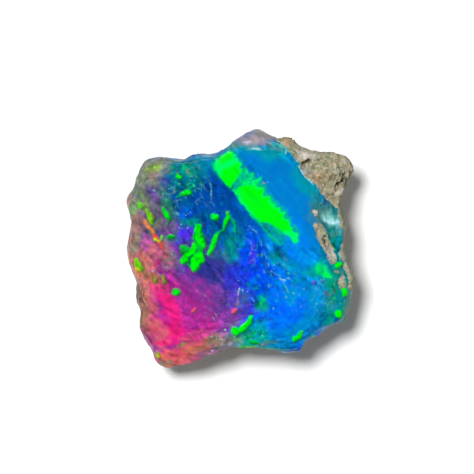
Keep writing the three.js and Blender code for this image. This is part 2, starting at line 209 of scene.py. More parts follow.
def in_outline(xy, outline):
    """How far each point lies inside a closed outline, in mm; below zero is outside it."""
    outline = np.array(outline, float)
    gap = np.full(len(xy), FAR)
    inside = np.zeros(len(xy), bool)
    x, y = xy.T
    for a, b in zip(outline, np.roll(outline, -1, axis=0)):
        run = b - a
        t = np.clip((xy - a) @ run / (run @ run), 0, 1)
        gap = np.minimum(gap, np.linalg.norm(xy - a - t[:, None] * run, axis=1))
        if a[1] != b[1]:
            crosses = (a[1] > y) != (b[1] > y)
            inside ^= crosses & (x < a[0] + (y - a[1]) / run[1] * run[0])
    return np.where(inside, gap, -gap)


def deepest(measure, xy, shapes):
    """How far each point lies inside the nearest of several shapes."""
    return np.max([measure(xy, shape) for shape in shapes], axis=0)


print("middle of a 1 mm spot:", in_stroke(np.zeros((1, 2)), (0, 0, 1))[0], "mm deep")

# %% [markdown]
# ## A truer rim
#
# Remeshing rounds the rim off, and a stone that was broken has small steps and corners along it.
# A list says how far the rim goes out or in at each bearing round the stone. Only the outer part
# moves, and only sideways, so that the heights and the resting face stay as they are.

# %% Trim the rim
RIM_TRIM = [  # bearing in degrees, mm outwards
    (0, 0.15), (8, 0.05), (25, -0.1), (31, -0.2), (36, 0.0), (44, 0.1), (49, 0.0), (55, -0.3), (60, -0.15),
    (68, 0.05), (76, -0.25), (84, -0.05), (94, 0.35), (104, -0.1), (117, -0.25), (126, 0.05), (132, 0.1),
    (138, -0.1), (144, -0.3), (152, 0.0), (158, 0.05), (165, 0.3), (178, 0.1), (188, 0.15), (198, 0.0),
    (208, 0.35), (216, 0.2), (224, 0.1), (232, 0.2), (240, -0.1), (246, 0.35), (258, 0.35), (264, -0.1),
    (270, 0.3), (278, 0.35), (284, 0.5), (291, 0.5), (296, 0.35), (300, 0.5), (304, 0.1), (311, 0.0),
    (318, 0.2), (325, 0.4), (330, 0.1), (336, 0.0), (341, 0.3), (355, 0.35),
]
RIM_FROM = 7.5  # mm from the middle, where the trim sets in
RIM_TO = 9.3  # mm from the middle, where it is complete
LEAST_RADIUS = 0.1  # mm; keeps the division below away from zero

from_middle = np.maximum(np.hypot(places[:, 0], places[:, 1]), LEAST_RADIUS)
turn = np.degrees(np.arctan2(places[:, 1], places[:, 0]))
bearings, outwards = np.array(RIM_TRIM).T
trim = np.interp(turn, bearings, outwards, period=360) * soft_step(from_middle, RIM_FROM, RIM_TO)
places[:, :2] *= (1 + trim / from_middle)[:, None]
write_points(stone.data, places)
places, normals = read_points(stone.data)
print("rim moved by", trim.min().round(2), "to", trim.max().round(2), "mm")

# %% [markdown]
# ## Where the host rock is
#
# Opal fills hollows in sandy volcanic rock. Where the piece broke away, a crest and a knob of
# that rock stayed on its upper right, a strip of it lies along the right-hand edge, and its
# underside and the foot of its walls are rock too. One number for each point says how deep it
# lies in the rock. Bending the places with noise first keeps the border from looking drawn.

# %% Map the rock
ROCK_AREAS = [
    [  # the crest and the knob
        (3.3, 11.4), (3.5, 10.75), (4.3, 10.15), (4.85, 9.65), (5.4, 9.0), (5.9, 8.15), (6.2, 7.6),
        (6.9, 6.9), (7.5, 6.2), (7.9, 5.5), (8.6, 4.8), (9.3, 4.1), (9.9, 3.9), (10.0, 3.0),
        (13.4, 3.0), (13.4, 11.8), (5.9, 13.8), (2.4, 12.8),
    ],
    [  # the strip along the right-hand edge
        (7.35, 2.55), (7.25, 2.2), (7.4, 1.6), (7.6, 1.0), (7.9, 0.3), (8.3, -0.5), (8.7, -1.2), (8.9, -1.7),
        (9.3, -1.6), (9.6, -1.1), (9.3, -0.45), (9.05, 0.2), (8.8, 0.9), (8.5, 1.55), (8.2, 2.1), (7.9, 2.5),
    ],
    [  # a crumb of it at its upper end
        (7.1, 3.9), (7.05, 3.5), (7.3, 3.2), (7.6, 3.3), (7.55, 3.8),
    ],
    [  # a patch between the two green drops
        (9.8, -2.9), (10.1, -2.6), (10.4, -2.9), (10.4, -3.8), (10.0, -4.2), (9.75, -3.7),
    ],
    [  # the brown rim outside the glassy hollow
        (9.7, 4.0), (9.6, 3.2), (9.9, 2.3), (10.15, 1.6), (10.1, 0.8), (9.95, 0.0), (9.7, -0.6), (9.9, -1.2),
        (10.25, -1.6), (10.2, -2.2), (10.5, -2.6), (10.6, -3.4), (10.5, -4.0), (11.0, -4.2), (13.0, -4.2),
        (13.0, 4.0),
    ],
]
WALL_ROCK_TOP = 3.1  # mm above the rest face, where rock gives way to opal on most walls
RIGHT_ROCK_TOP = 5.6  # the same on the right-hand wall
RIGHT_BEARING = math.radians(18)  # which way the right-hand wall faces
ROCK_TOP_SWING = 1.5  # mm that this border rises and falls
WANDER = 0.34  # mm that the border of the rock wanders

facing_up = soft_step(normals[:, 2], 0.05, 0.45)
bearing = np.arctan2(places[:, 1], places[:, 0])
wander = noise_arrows(places, 0.9, 1, 2, 3) * WANDER
from_above = deepest(in_outline, (places + wander)[:, :2], ROCK_AREAS)
right_side = soft_step(np.cos(bearing - RIGHT_BEARING), 0.55, 0.9)
rock_top = WALL_ROCK_TOP + (RIGHT_ROCK_TOP - WALL_ROCK_TOP) * right_side
rock_top = rock_top + ROCK_TOP_SWING * rough_noise(places, 3.2, 5)
from_below = np.maximum(rock_top - places[:, 2], -2 - 3 * normals[:, 2])
rock_depth = np.maximum(from_above, from_below * 0.5 - facing_up * 3)
print("rock covers", (soft_step(rock_depth, -0.04, 0.1).mean() * 100).round(), "% of the skin")

# %% [markdown]
# Cracks in the host rock filled with opal too, and show as thin level seams in the rocky walls.
# Smooth noise passes through zero along winding lines, so a narrow band round those lines makes
# such seams, and squeezing the noise in height lays them level.

# %% Run seams of opal through the rock
SEAM_WIDTH = 0.05  # how far from zero the noise may be inside a seam
SEAM_THINNING = 0.06  # how much of that width is lost in places
SEAM_DEPTH = -0.2  # mm in the rock; below zero is opal

flattened = places * (0.6, 0.6, 1.5) + wander
seam_line = SEAM_WIDTH - np.abs(rough_noise(flattened, 2.2, 6, 3))
seam_line = seam_line + SEAM_THINNING * np.minimum(noise(places, 2.0, 7), 0)
in_seam = soft_step(seam_line, 0, 0.02) * (1 - facing_up) * soft_step(places[:, 2], 0.6, 1.4)
rock_depth += (SEAM_DEPTH - rock_depth) * in_seam
rock = soft_step(rock_depth, -0.04, 0.1)
print("with its seams, rock covers", (rock.mean() * 100).round(), "% of the skin")

# %% [markdown]
# ## The grain of the opal
#
# Opal breaks along curved, shell-like waves, so its fine texture is made of strands that bend
# round the stone. A few given lines say which way the grain runs, and every point takes
# its way from the lines near it. Noise averaged for a short stretch along that way is drawn out
# into strands. Over the calm parts, where the stone broke cleanly, the strands fade.

# %% Follow the grain
GRAIN_LINES = [  # x, y, which way the grain runs there, in degrees
    (-8, 5, -47), (-6, 3, -47), (-9, 8, 20), (-6.5, 8, 0), (-3, 8, -60), (-2, 5, -75), (-0.5, 3, -66),
    (-3, 2, -60), (1.8, 1, -75), (2.3, -1, -76), (4, -3, -30), (1.5, -4.5, -50), (1, -6.5, 20),
    (-1, -7.5, 20), (-1.5, -5, -80), (-3, -3, -30), (-5, -4, -35), (-7, -6, -25), (-6, -9, 5),
    (-8, -9, -50), (-9.8, -5, -85), (-4, -9.5, 20), (1.5, -9, 10), (5, -8, 25), (8, -6, 60),
    (9.5, -4.5, 30), (8, -3, -60), (6, -1, -35), (5, 5, -50), (9, 1, 80),
]
CALM = [  # how calm it is, and the stroke
    (0.92, [(0.9, 9, 0.6), (1.9, 8.9, 0.9), (3.6, 7.6, 1.3), (5.4, 5, 1.9), (6.6, 2.4, 1),
     (6.5, 0.8, 0.6)]),
    (0.5, [(5, 0.4, 0.6), (6.4, -0.9, 0.6)]),
    (0.6, [(3.4, -5.6, 1), (5.6, -5.6, 2), (4.6, -7.6, 1.2)]),
    (0.5, [(-4.2, -3.6, 1.4), (-3.4, -6, 1.4)]),
    (0.35, [(-7.4, -5, 1.2), (-7.2, -9, 1.4)]),
    (0.6, [(9.2, -3.2, 0.9), (9.6, -5.6, 0.8)]),
    (0.6, [(-3.6, 9, 0.6), (-2.8, 7.6, 0.7)]),
    (0.9, [(0.4, 10.6, 0.8), (2.2, 11.2, 0.6)]),
    (0.6, [(-4.2, 5.4, 0.5), (-3, 4.4, 0.9), (-1.6, 5, 0.7), (0.4, 2.8, 0.5)]),
    (0.5, [(6, -1.2, 0.9), (5, -0.6, 0.6)]),
    (0.5, [(-6.4, -10.2, 0.6), (-4.6, -10, 0.6)]),
]
STRAND_STEPS = 9
EVEN_OUT = 0.5  # square mm; keeps a line from ruling the points right beside it


def grain_way(xy):
    """The way the grain runs at each point, as arrows one millimetre long."""
    total = np.zeros((len(xy), 2))
    for x, y, turn in GRAIN_LINES:
        weight = 1 / (((xy - (x, y)) ** 2).sum(axis=1) + EVEN_OUT)
        twice = math.radians(2 * turn)  # a way and its opposite count as the same
        total += weight[:, None] * (math.cos(twice), math.sin(twice))
    angle = np.arctan2(total[:, 1], total[:, 0]) / 2
    return np.stack([np.cos(angle), np.sin(angle), np.zeros(len(xy))], axis=1)


def strands(points, size, reach, salt):
    """Noise drawn out along the grain, reach mm each way; about two thirds lie within -1 to 1."""
    way = grain_way(points[:, :2])
    steps = np.linspace(-reach, reach, STRAND_STEPS)
    drawn = np.mean([rough_noise(points + way * step, size, salt, 2) for step in steps], axis=0)
    return drawn / drawn.std()


calm = np.zeros(len(places))
for strength, line in CALM:
    calm = np.maximum(calm, strength * soft_step(in_stroke(places[:, :2], line), -0.9, 0.4))
busy = 1 - calm
fine_strands = strands(places, size=0.26, reach=0.42, salt=101)
broad_strands = strands(places, size=0.65, reach=1.2, salt=111)
print("calm over", (calm.mean() * 100).round(), "% of the skin")

# %% [markdown]
# ## Relief
#
# The opal broke like glass: it is smooth, with faint ripples, a few folds and fine dints. The
# rock is sand that was cemented together: round grains, with pits where grains fell out. Both
# are moved in the mesh itself, because a light from the side shows real relief best. Only what
# is finer than the mesh is left to a bump in the material.

# %% Folds and crevices, listed one by one
FOLDS = [  # depth in mm, how far it spreads in mm, the line
    (0.1, 0.3, [(-1.9, 9.65), (0.6, 9.72), (2.4, 9.8), (3.9, 9.75)]),
    (0.05, 0.22, [(1.4, 2.2), (1.9, 1), (2.3, -0.4), (2.7, -2.2), (2.5, -4)]),
    (0.05, 0.2, [(0.9, 2.4), (1.6, 0.6), (1.7, -1)]),
    (0.05, 0.16, [(-2, -7.7), (0.4, -6.7), (2.1, -6.2)]),
    (0.05, 0.2, [(2.9, -2.3), (3.8, -2.9), (4.8, -3), (5.4, -3.6)]),
    (0.04, 0.18, [(3.3, -1.2), (4.1, -1.4), (4.9, -2.5)]),
    (0.04, 0.22, [(-8.9, 5.9), (-8, 5.2), (-7, 4.1), (-5.9, 2.6), (-5.3, 2)]),
    (0.05, 0.26, [(-9.6, 2.9), (-9, 1.9), (-8.3, 1), (-7.8, 0), (-7, -0.9)]),
    (0.05, 0.2, [(-1.2, -3.4), (-0.3, -4.6), (-0.6, -6.2)]),
    (0.06, 0.24, [(-2.6, -8.6), (-1.4, -8.9), (-0.2, -8.8)]),
]
CREVICES = [  # depth and half width in mm, the line
    (0.6, 0.34, [(6.3, 8.35), (6.4, 8.6), (6.65, 8.75), (6.95, 8.65)]),
    (0.25, 0.14, [(5.2, 9.7), (5.4, 9.4)]),
    (0.5, 0.28, [(9.55, 6.1), (9.7, 6.55), (10.1, 6.75), (10.5, 6.6)]),
    (0.55, 0.32, [(10.3, 6.95), (10.75, 6.6), (10.8, 6.1)]),
    (0.3, 0.14, [(9.5, 5.9), (9.55, 5.6)]),
    (0.45, 0.34, [(10.75, 5.9), (10.5, 5.3), (10.1, 4.8)]),
    (0.3, 0.14, [(9.85, 4.8), (9.75, 4.3)]),
    (0.35, 0.14, [(9.8, 7.3), (10, 7.2)]),
    (0.35, 0.14, [(10.3, 7.5), (10.5, 7.35)]),
    (0.35, 0.14, [(10.8, 7.7), (11, 7.3)]),
    (0.3, 0.12, [(9.1, 7), (9.3, 7.1)]),
    (0.25, 0.14, [(11, 8.6), (11.35, 8)]),
    (0.25, 0.12, [(7.2, 9.6), (7.7, 9.7), (8.1, 9.6)]),
    (0.35, 0.14, [(7.05, 3.9), (7, 3.5)]),
    (0.25, 0.12, [(8.2, 1.2), (8.4, 0.6), (8.7, 0.1)]),
    (0.25, 0.12, [(-10.2, -4.1), (-9.9, -4.9), (-9.8, -5.6)]),
    (0.22, 0.12, [(-9.9, -6.3), (-9.8, -7)]),
]
SMOOTH_ROCK = [(6.9, 9.6, 0.75), (6.2, 9.5, 0.4)]  # a clean break across the rock: x, y, radius
print(len(FOLDS), "folds,", len(CREVICES), "crevices")

# %% Relief of the opal
RIPPLE = 0.035  # mm, as all heights here
DINT = 0.010
STRAND = 0.012
WALL_RIDGE = 0.22  # on the broken walls

xy = places[:, :2] + wander[:, :2] * 0.3
opal_height = RIPPLE * rough_noise(places, 1.7, 11) + DINT * noise(places, 0.45, 12)
opal_height += STRAND * fine_strands * busy
for depth, spread, line in FOLDS:
    opal_height -= depth * facing_up * np.exp(-((in_stroke(xy, line) / spread) ** 2))
walls = 1 - facing_up
opal_height += walls * WALL_RIDGE * (0.5 - np.abs(rough_noise(places, 1.6, 13)))
print("opal relief from", opal_height.min().round(2), "to", opal_height.max().round(2), "mm")

# %% Relief of the rock
GRAIN_SIZE = 0.42  # mm between the middles of neighbouring grains
GRAIN = 0.07  # mm, as all heights below
ROCK_TOOTH = 0.10
ROCK_LUMP = 0.22
ROCK_PIT = 0.36
FRAY = 0.45  # mm that the edges of the crevices are frayed

grain_gap, grain_number = grains(places + wander * 0.5, GRAIN_SIZE, 20)
grains_show = soft_step(rough_noise(places, 1.4, 23), -0.6, 0.1)
smooth_rock = facing_up * soft_step(deepest(in_stroke, xy, SMOOTH_ROCK), -0.15, 0.2)
rock_height = GRAIN * (0.6 - grain_gap) * grains_show + ROCK_TOOTH * rough_noise(places, 0.35, 24, 2)
pitted = soft_step(rough_noise(places, 1.0, 22), 0.38, 0.62) * (1 - smooth_rock)
rock_height = (rock_height - ROCK_PIT * pitted) * (1 - 0.85 * smooth_rock)
rock_height += ROCK_LUMP * rough_noise(places, 1.3, 21)
creviced = np.zeros(len(places))
frayed = xy + FRAY * noise_arrows(places, 0.4, 25, 26, octaves=3)
patchy = soft_step(rough_noise(places, 0.42, 27, 2), -0.6, -0.3)
for depth, half_width, line in CREVICES:
    cut = facing_up * patchy * (1 - soft_step(-in_stroke(frayed, line), 0, half_width))
    rock_height -= depth * cut
    creviced = np.maximum(creviced, cut)
print("pits cover", (pitted[rock > 0.5].mean() * 100).round(), "% of the rock")

# %% Move the points
REST_BAND = (0.02, 0.5)  # mm above the rest face, over which the relief comes in

height = opal_height * (1 - rock) + rock_height * rock
resting = 1 - soft_step(places[:, 2], *REST_BAND)
height *= 1 - resting
shaped = places + normals * height[:, None]
shaped[:, 2] = np.maximum(shaped[:, 2], 0)
write_points(stone.data, shaped)
print("relief from", height.min().round(2), "to", height.max().round(2), "mm")

# %% [markdown]
# ## Body colour
#
# Precious opal is stacked from tiny spheres of silica. The spacing of the spheres sets which
# colour flashes back, and it drifts through the stone, so broad clouds of colour run into each
# other: red and magenta where the spheres are large, green and blue where they are small. Each
# cloud is placed as a soft ellipse, in painting order: the broad ones first, then the
# smaller ones of each part of the stone. The places are bent with noise first, so that clouds
# meet in ragged wisps.
# A few pale clouds, in the glassy hollow and on the upper edge, are painted highlights.

# %% Name the colours
SHADES = {  # as they look on a screen: red, green and blue from 0 to 255
    "ink_blue": (0, 56, 150), "deep_blue": (0, 80, 172), "royal_blue": (0, 62, 238),
    "bright_blue": (0, 103, 252), "azure": (0, 130, 240), "clear_blue": (0, 154, 236),
    "sky_blue": (0, 124, 206), "glass_blue": (0, 141, 212), "lagoon": (0, 153, 180),
    "cyan": (0, 180, 196), "teal": (0, 140, 138), "dark_teal": (0, 104, 124), "sea_green": (0, 158, 108),
    "indigo": (40, 44, 200), "violet": (85, 30, 235), "dark_violet": (56, 50, 145),
    "purple": (122, 56, 148), "plum": (98, 78, 104), "slate": (78, 106, 118), "magenta": (150, 42, 146),
    "orchid": (172, 72, 190), "fuchsia": (192, 38, 148), "hot_pink": (220, 36, 132),
    "rose": (246, 26, 122), "coral": (212, 90, 96), "salmon": (186, 106, 100), "amber": (222, 132, 66),
    "ochre": (160, 126, 76), "olive": (122, 122, 76), "mauve_grey": (126, 126, 124),
    "pearl": (156, 150, 160), "moss_grey": (108, 132, 110), "brown_skin": (156, 124, 104),
    "dark_brown": (92, 66, 54), "notch_brown": (112, 84, 74), "fire_green": (0, 250, 14),
    "mint": (0, 252, 104), "leaf_green": (0, 196, 54), "jade": (0, 196, 112),
    "forest_green": (0, 128, 44), "sea_glass": (0, 165, 160), "pine": (0, 92, 70), "lime": (112, 214, 10),
    "gold_green": (166, 174, 36), "yellow": (228, 228, 40), "orange": (255, 150, 50),
    "red": (255, 80, 70), "flame_pink": (255, 84, 116), "cyan_white": (165, 225, 228),
    "pale_teal": (96, 186, 176), "misty_teal": (74, 143, 140), "lilac_white": (205, 195, 225),
    "sand": (186, 178, 152), "tan": (172, 158, 128), "pink_sand": (200, 186, 182),
    "pale_break": (226, 212, 208), "olive_sand": (160, 158, 124), "rust": (184, 146, 104),
    "crack_brown": (66, 54, 46), "soot_brown": (44, 22, 14),
}


def tint(red, green, blue):
    """A colour as it looks on a screen, turned into the amounts of light it stands for."""
    share = np.array([red, green, blue]) / 255
    return np.where(share <= 0.04045, share / 12.92, ((share + 0.055) / 1.055) ** 2.4)


def ground(name):
    """A named colour on all the points, to paint on."""
    return np.tile(COLOURS[name], (len(places), 1))


def wash(colours, name, share, brightness=1.0):
    """Washes a named colour over the painted ones, by a share for each point."""
    colours += (COLOURS[name] * brightness - colours) * share[:, None]


COLOURS = {name: tint(*shade) for name, shade in SHADES.items()}
print(len(COLOURS), "colours")

# %% Broad clouds
# Each row: colour, the colour that threads it, x, y, half length, half width, turn, strength.
BROAD_CLOUDS = [
    ("magenta", "hot_pink", -7.5, -8, 8, 6, -60, 1),
    ("salmon", "ochre", -11.5, -3, 6.5, 1.8, 88, 1),
    ("coral", "amber", -7.5, -12.5, 6, 1.6, 22, 1),
    ("mauve_grey", "moss_grey", -10.5, 8, 4, 3.2, 60, 1),
    ("brown_skin", "salmon", -12.2, 3, 4.4, 1.8, 88, 1),
    ("bright_blue", "glass_blue", 4, -5.5, 6.2, 5.2, 0, 1),
    ("sky_blue", "glass_blue", 4.2, 5, 7.6, 4.4, -50, 1),
    ("teal", "sea_green", 11.5, -4.5, 6.5, 2, 80, 1),
    ("sea_green", "leaf_green", 1.5, -11, 3.2, 1.8, 0, 1),
    ("mauve_grey", "olive", -2.2, -11.2, 2.4, 1.8, 20, 1),
    ("azure", "glass_blue", 5.6, 0.8, 3.4, 1.7, -64, 1),
    ("sky_blue", "glass_blue", 1.2, 8.8, 2, 1.1, -20, 1),
    ("lagoon", "teal", 6.9, 5.6, 4.2, 0.9, -56, 0.9),
    ("lagoon", "teal", 2.4, 9.7, 4.2, 0.9, -8, 1),
    ("glass_blue", "lagoon", 7.9, -4.2, 4.8, 1.9, 84, 0.95),
    ("teal", "sea_green", 9.3, -3.8, 4.6, 1, 80, 0.95),
    ("royal_blue", "deep_blue", 1.2, -2.6, 5, 1.8, 86, 1),
]
print(len(BROAD_CLOUDS), "broad clouds")

# %% Smaller clouds of the upper half
UPPER_CLOUDS = [
    # blue and dark teal above the middle
    ("lagoon", "deep_blue", -3.4, 9, 2.4, 1.2, 60, 0.9),
    ("royal_blue", "ink_blue", -5.4, 3.4, 1, 0.6, 10, 0.8),
    ("dark_teal", "sea_green", -6, 7.4, 2.4, 2, 0, 0.9),
    ("dark_teal", "teal", -6.6, 5, 1.8, 1, -30, 0.5),
    ("ink_blue", "dark_teal", -6.7, 4.8, 1.4, 0.9, -50, 0.8),
    ("ink_blue", "deep_blue", -1.9, 6.6, 2.2, 0.6, -50, 0.6),
    ("sea_green", "dark_teal", -4.8, 2.3, 0.9, 0.5, 10, 0.9),
    ("deep_blue", "ink_blue", -2.4, 3, 3.6, 1.8, -65, 0.9),
    ("ink_blue", "dark_teal", -1.1, 4.6, 2.8, 0.8, -55, 0.8),
    ("dark_teal", "deep_blue", -2.4, 2, 1.6, 0.5, -65, 0.6),
    ("dark_teal", "ink_blue", -3.9, 3, 1.6, 0.7, 30, 0.5),
    ("teal", "sea_green", -1.1, -0.1, 2.6, 1, 84, 0.8),
    ("dark_teal", "indigo", -3.2, 0.4, 1.5, 0.9, 80, 0.7),
    ("lagoon", "teal", 0.3, 0.7, 0.9, 0.3, 80, 0.8),
    ("bright_blue", "royal_blue", 1, 1.2, 1.4, 0.6, 80, 0.6),
    ("glass_blue", "azure", 3, 0.6, 1.5, 0.8, -50, 0.8),
    # slate, plum, brown and magenta down the left-hand side
    ("slate", "moss_grey", -8.9, 5.4, 3.2, 1.6, -50, 0.9),
    ("mauve_grey", "olive", -8.9, 7.5, 2, 1.5, 60, 1),
    ("salmon", "ochre", -8.8, 7.2, 0.5, 0.35, 60, 0.5),
    ("gold_green", "lime", -8.8, 8.1, 0.8, 0.5, 10, 0.55),
    ("moss_grey", "olive", -10, 6.3, 2.2, 0.9, 66, 0.9),
    ("dark_violet", "slate", -7.6, 6.7, 0.9, 0.5, -40, 0.8),
    ("purple", "dark_violet", -8.7, 5.4, 1.2, 0.7, -50, 1),
    ("plum", "slate", -10.4, 5.6, 1.2, 0.5, 66, 0.7),
    ("plum", "olive", -8.5, 3.4, 2.2, 1, -62, 0.8),
    ("plum", "ochre", -9.3, 2.2, 1.6, 1, -60, 0.9),
    ("dark_teal", "sea_green", -7.2, 4.2, 1.7, 0.8, -58, 0.8),
    ("plum", "slate", -7.4, 2.3, 1.9, 1.2, -45, 0.8),
    ("brown_skin", "salmon", -10.5, 2.2, 2.6, 0.9, 84, 0.9),
    ("moss_grey", "lime", -10.9, 3.8, 1, 0.7, 80, 0.9),
    ("moss_grey", "lime", -10.2, 4.8, 0.9, 0.6, -60, 0.7),
    ("plum", "salmon", -9.9, 2, 1.2, 0.7, 80, 0.9),
    ("orchid", "purple", -9.3, 0.8, 0.9, 0.6, 80, 0.9),
    ("violet", "indigo", -6, 1.2, 1.1, 0.8, 50, 1),
    ("violet", "royal_blue", -5.9, 1.2, 0.9, 0.6, 60, 1),
    ("deep_blue", "dark_teal", -4.5, 1.3, 1.3, 0.7, 80, 0.7),
    ("indigo", "violet", -5.2, 1.6, 0.7, 0.5, 0, 0.8),
    ("purple", "magenta", -7.2, -0.5, 1.8, 1.1, -50, 0.9),
    ("magenta", "purple", -5.2, -5.2, 6.6, 4.4, -70, 0.9),
    ("purple", "coral", -8.4, -0.9, 2, 1.2, -30, 0.8),
    ("slate", "sea_green", -7, 0.9, 1, 0.5, 0, 0.5),
    ("mauve_grey", "moss_grey", -7, -0.9, 1.3, 0.8, -20, 0.5),
    ("coral", "olive", -8.2, -0.3, 1.9, 0.8, -40, 0.55),
    ("salmon", "coral", -9.7, -1, 2.2, 1.1, 84, 1),
    ("salmon", "amber", -9.2, -3.2, 1.4, 0.7, -84, 0.7),
    ("rose", "salmon", -8.6, -1.3, 0.8, 0.4, -40, 0.5),
]
print(len(UPPER_CLOUDS), "clouds in the upper half")

# %% Smaller clouds of the lower half
LOWER_CLOUDS = [
    # violet, fuchsia and blue below the middle
    ("dark_violet", "ink_blue", -3.4, -1.9, 3.2, 1.7, -28, 1),
    ("indigo", "royal_blue", -0.8, -3.2, 2.8, 0.9, 84, 1),
    ("purple", "dark_violet", -1.9, -5.3, 2.4, 1.3, 70, 0.8),
    ("purple", "indigo", -0.5, -6.3, 2, 1.2, 60, 0.7),
    ("violet", "royal_blue", 0.9, -6.2, 1.4, 0.5, 30, 0.4),
    ("fuchsia", "magenta", -4.4, -7.6, 2.8, 1.7, -15, 0.85),
    ("fuchsia", "hot_pink", -5.3, -5.2, 1.6, 1, -50, 0.5),
    ("dark_teal", "royal_blue", 0.1, -5.3, 1.3, 0.6, 80, 0.6),
    ("indigo", "deep_blue", 0.5, -3, 1.6, 0.6, 84, 0.6),
    ("indigo", "deep_blue", -1.2, -2.8, 1.6, 0.9, 84, 0.8),
    ("royal_blue", "azure", 2.8, -6.6, 1.1, 0.8, 0, 0.6),
    ("azure", "lagoon", 4.9, -3.9, 1.8, 1, -70, 0.7),
    ("bright_blue", "azure", 4.2, -7, 2.6, 1.2, 0, 0.8),
    # rose, coral and salmon at the lower left
    ("hot_pink", "coral", -8.2, -3.9, 2.2, 0.9, -70, 0.8),
    ("hot_pink", "magenta", -7.2, -3.3, 1.3, 0.9, -40, 0.35),
    ("rose", "hot_pink", -7.2, -5.6, 2.6, 1, -62, 0.85),
    ("salmon", "ochre", -9.6, -5.4, 4.4, 1, -84, 0.95),
    ("notch_brown", "salmon", -9.6, -6.8, 2.2, 0.7, -84, 0.75),
    ("coral", "hot_pink", -8.7, -5.8, 3.2, 0.5, -80, 0.4),
    ("salmon", "rose", -8.4, -8.8, 2, 0.8, -62, 0.8),
    ("rose", "hot_pink", -6.9, -8.4, 2.2, 1.2, -20, 0.9),
    ("rose", "coral", -7.7, -9.4, 0.9, 0.5, 0, 0.9),
    ("coral", "rose", -4.6, -9.1, 2, 0.9, 20, 0.6),
    ("coral", "amber", -5.9, -10.7, 2.4, 0.8, 22, 0.95),
    ("rose", "amber", -7, -10.6, 1.2, 0.5, 10, 0.5),
    ("coral", "amber", -7.6, -10.8, 1.2, 0.7, 20, 0.8),
    ("brown_skin", "olive", -7.6, -11.6, 0.9, 0.4, 20, 0.9),
    ("orchid", "purple", -1.7, -7.4, 1.6, 0.9, 30, 0.7),
    ("ochre", "coral", -3.3, -9.7, 2, 0.7, 28, 0.8),
    ("olive", "ochre", -2.8, -9.35, 0.9, 0.45, 25, 0.7),
    ("olive", "lime", -5.7, -9.85, 0.5, 0.2, 10, 0.8),
    ("mauve_grey", "ochre", -1.6, -9.3, 1.6, 0.8, 15, 0.85),
    ("pearl", "brown_skin", -1.2, -9.3, 1.3, 0.6, 15, 0.6),
    # sea green along the lower edge
    ("lagoon", "sea_green", 1.4, -7.9, 1.4, 0.8, 20, 0.7),
    ("sea_green", "leaf_green", 1.2, -8.8, 2.2, 1, 2, 0.95),
    ("lagoon", "sea_green", 2.4, -8.9, 1.3, 0.8, -5, 0.8),
    ("mauve_grey", "royal_blue", 2.2, -9.7, 0.5, 0.25, -15, 0.6),
    ("moss_grey", "teal", 3.2, -9.4, 0.9, 0.25, -12, 0.6),
    # the left-hand edge
    ("salmon", "olive", -10.8, -0.8, 0.5, 0.35, 80, 0.8),
    ("amber", "olive", -10.3, -2.4, 0.6, 0.5, 0, 0.9),
    ("brown_skin", "dark_brown", -10.1, -5, 1.6, 0.45, -80, 0.9),
    ("brown_skin", "salmon", -9.8, -7.4, 1.5, 0.35, -75, 0.8),
]
print(len(LOWER_CLOUDS), "clouds in the lower half")

# %% Smaller clouds of the right-hand side and the upper edge
RIGHT_CLOUDS = [
    # glassy blue and green
    ("teal", "sea_green", 3.4, -0.8, 1.1, 0.8, -20, 0.8),
    ("lagoon", "glass_blue", 4.9, -1.9, 1.4, 0.7, -35, 0.8),
    ("sea_green", "teal", 5.5, -3.4, 0.6, 0.4, 80, 0.7),
    ("sea_green", "lagoon", 2, -5.4, 1.1, 0.7, 70, 0.9),
    ("jade", "mint", 2.1, -5.35, 0.5, 0.3, 70, 0.9),
    ("glass_blue", "lagoon", 5.8, -7.9, 1.6, 0.8, 20, 0.8),
    ("lagoon", "azure", 7.2, -7.2, 1.2, 0.7, 30, 0.6),
    ("bright_blue", "lagoon", 5.4, 0, 1.4, 0.9, 20, 0.6),
    ("glass_blue", "lagoon", 6.6, -2.4, 1.4, 0.7, -20, 0.7),
    ("clear_blue", "azure", 6.7, -1, 1.8, 1, -40, 0.95),
    ("cyan", "lagoon", 7.3, -1.8, 0.8, 0.45, -30, 0.8),
    ("jade", "cyan", 7.15, -2.4, 0.4, 0.22, -10, 0.8),
    ("sea_green", "teal", 8.6, -2.4, 2.2, 0.8, -66, 0.8),
    ("glass_blue", "lagoon", 4.6, -9.2, 2.2, 0.9, 10, 0.8),
    # the upper edge, and the hollow beside the rock
    ("dark_teal", "teal", 3.9, 10.05, 1, 0.3, -12, 0.8),
    ("teal", "lagoon", 3.1, 10.4, 1.1, 0.5, -25, 0.9),
    ("pearl", "mauve_grey", 1, 11, 2.5, 0.78, 14, 1),
    ("pink_sand", "orchid", 1.9, 11.1, 1.1, 0.5, 10, 0.4),
    ("mauve_grey", "moss_grey", 2.3, 11.5, 1.4, 0.5, -25, 0.9),
    ("moss_grey", "teal", -0.8, 10, 0.9, 0.3, 20, 0.7),
    ("misty_teal", "teal", 8.7, 3.2, 2.3, 1.7, -60, 1),
    ("teal", "pine", 9.3, 0.9, 1.8, 1.1, 80, 1),
    ("misty_teal", "teal", 9.6, 1.6, 0.8, 0.5, 0, 0.9),
    ("dark_teal", "teal", 7.6, 3.9, 0.9, 0.5, -60, 0.6),
    # painted highlights: the gloss in the glassy hollow, then on the upper edge
    ("cyan_white", "pale_teal", 8.9, 2.95, 1.3, 0.6, -28, 0.9),
    ("lilac_white", "cyan_white", 9.2, 2.75, 0.7, 0.25, -12, 0.8),
    ("lilac_white", "pearl", 0.5, 10.6, 0.55, 0.22, 10, 0.9),
    ("cyan_white", "lagoon", 1.5, 9.95, 0.9, 0.1, 4, 0.7),
]
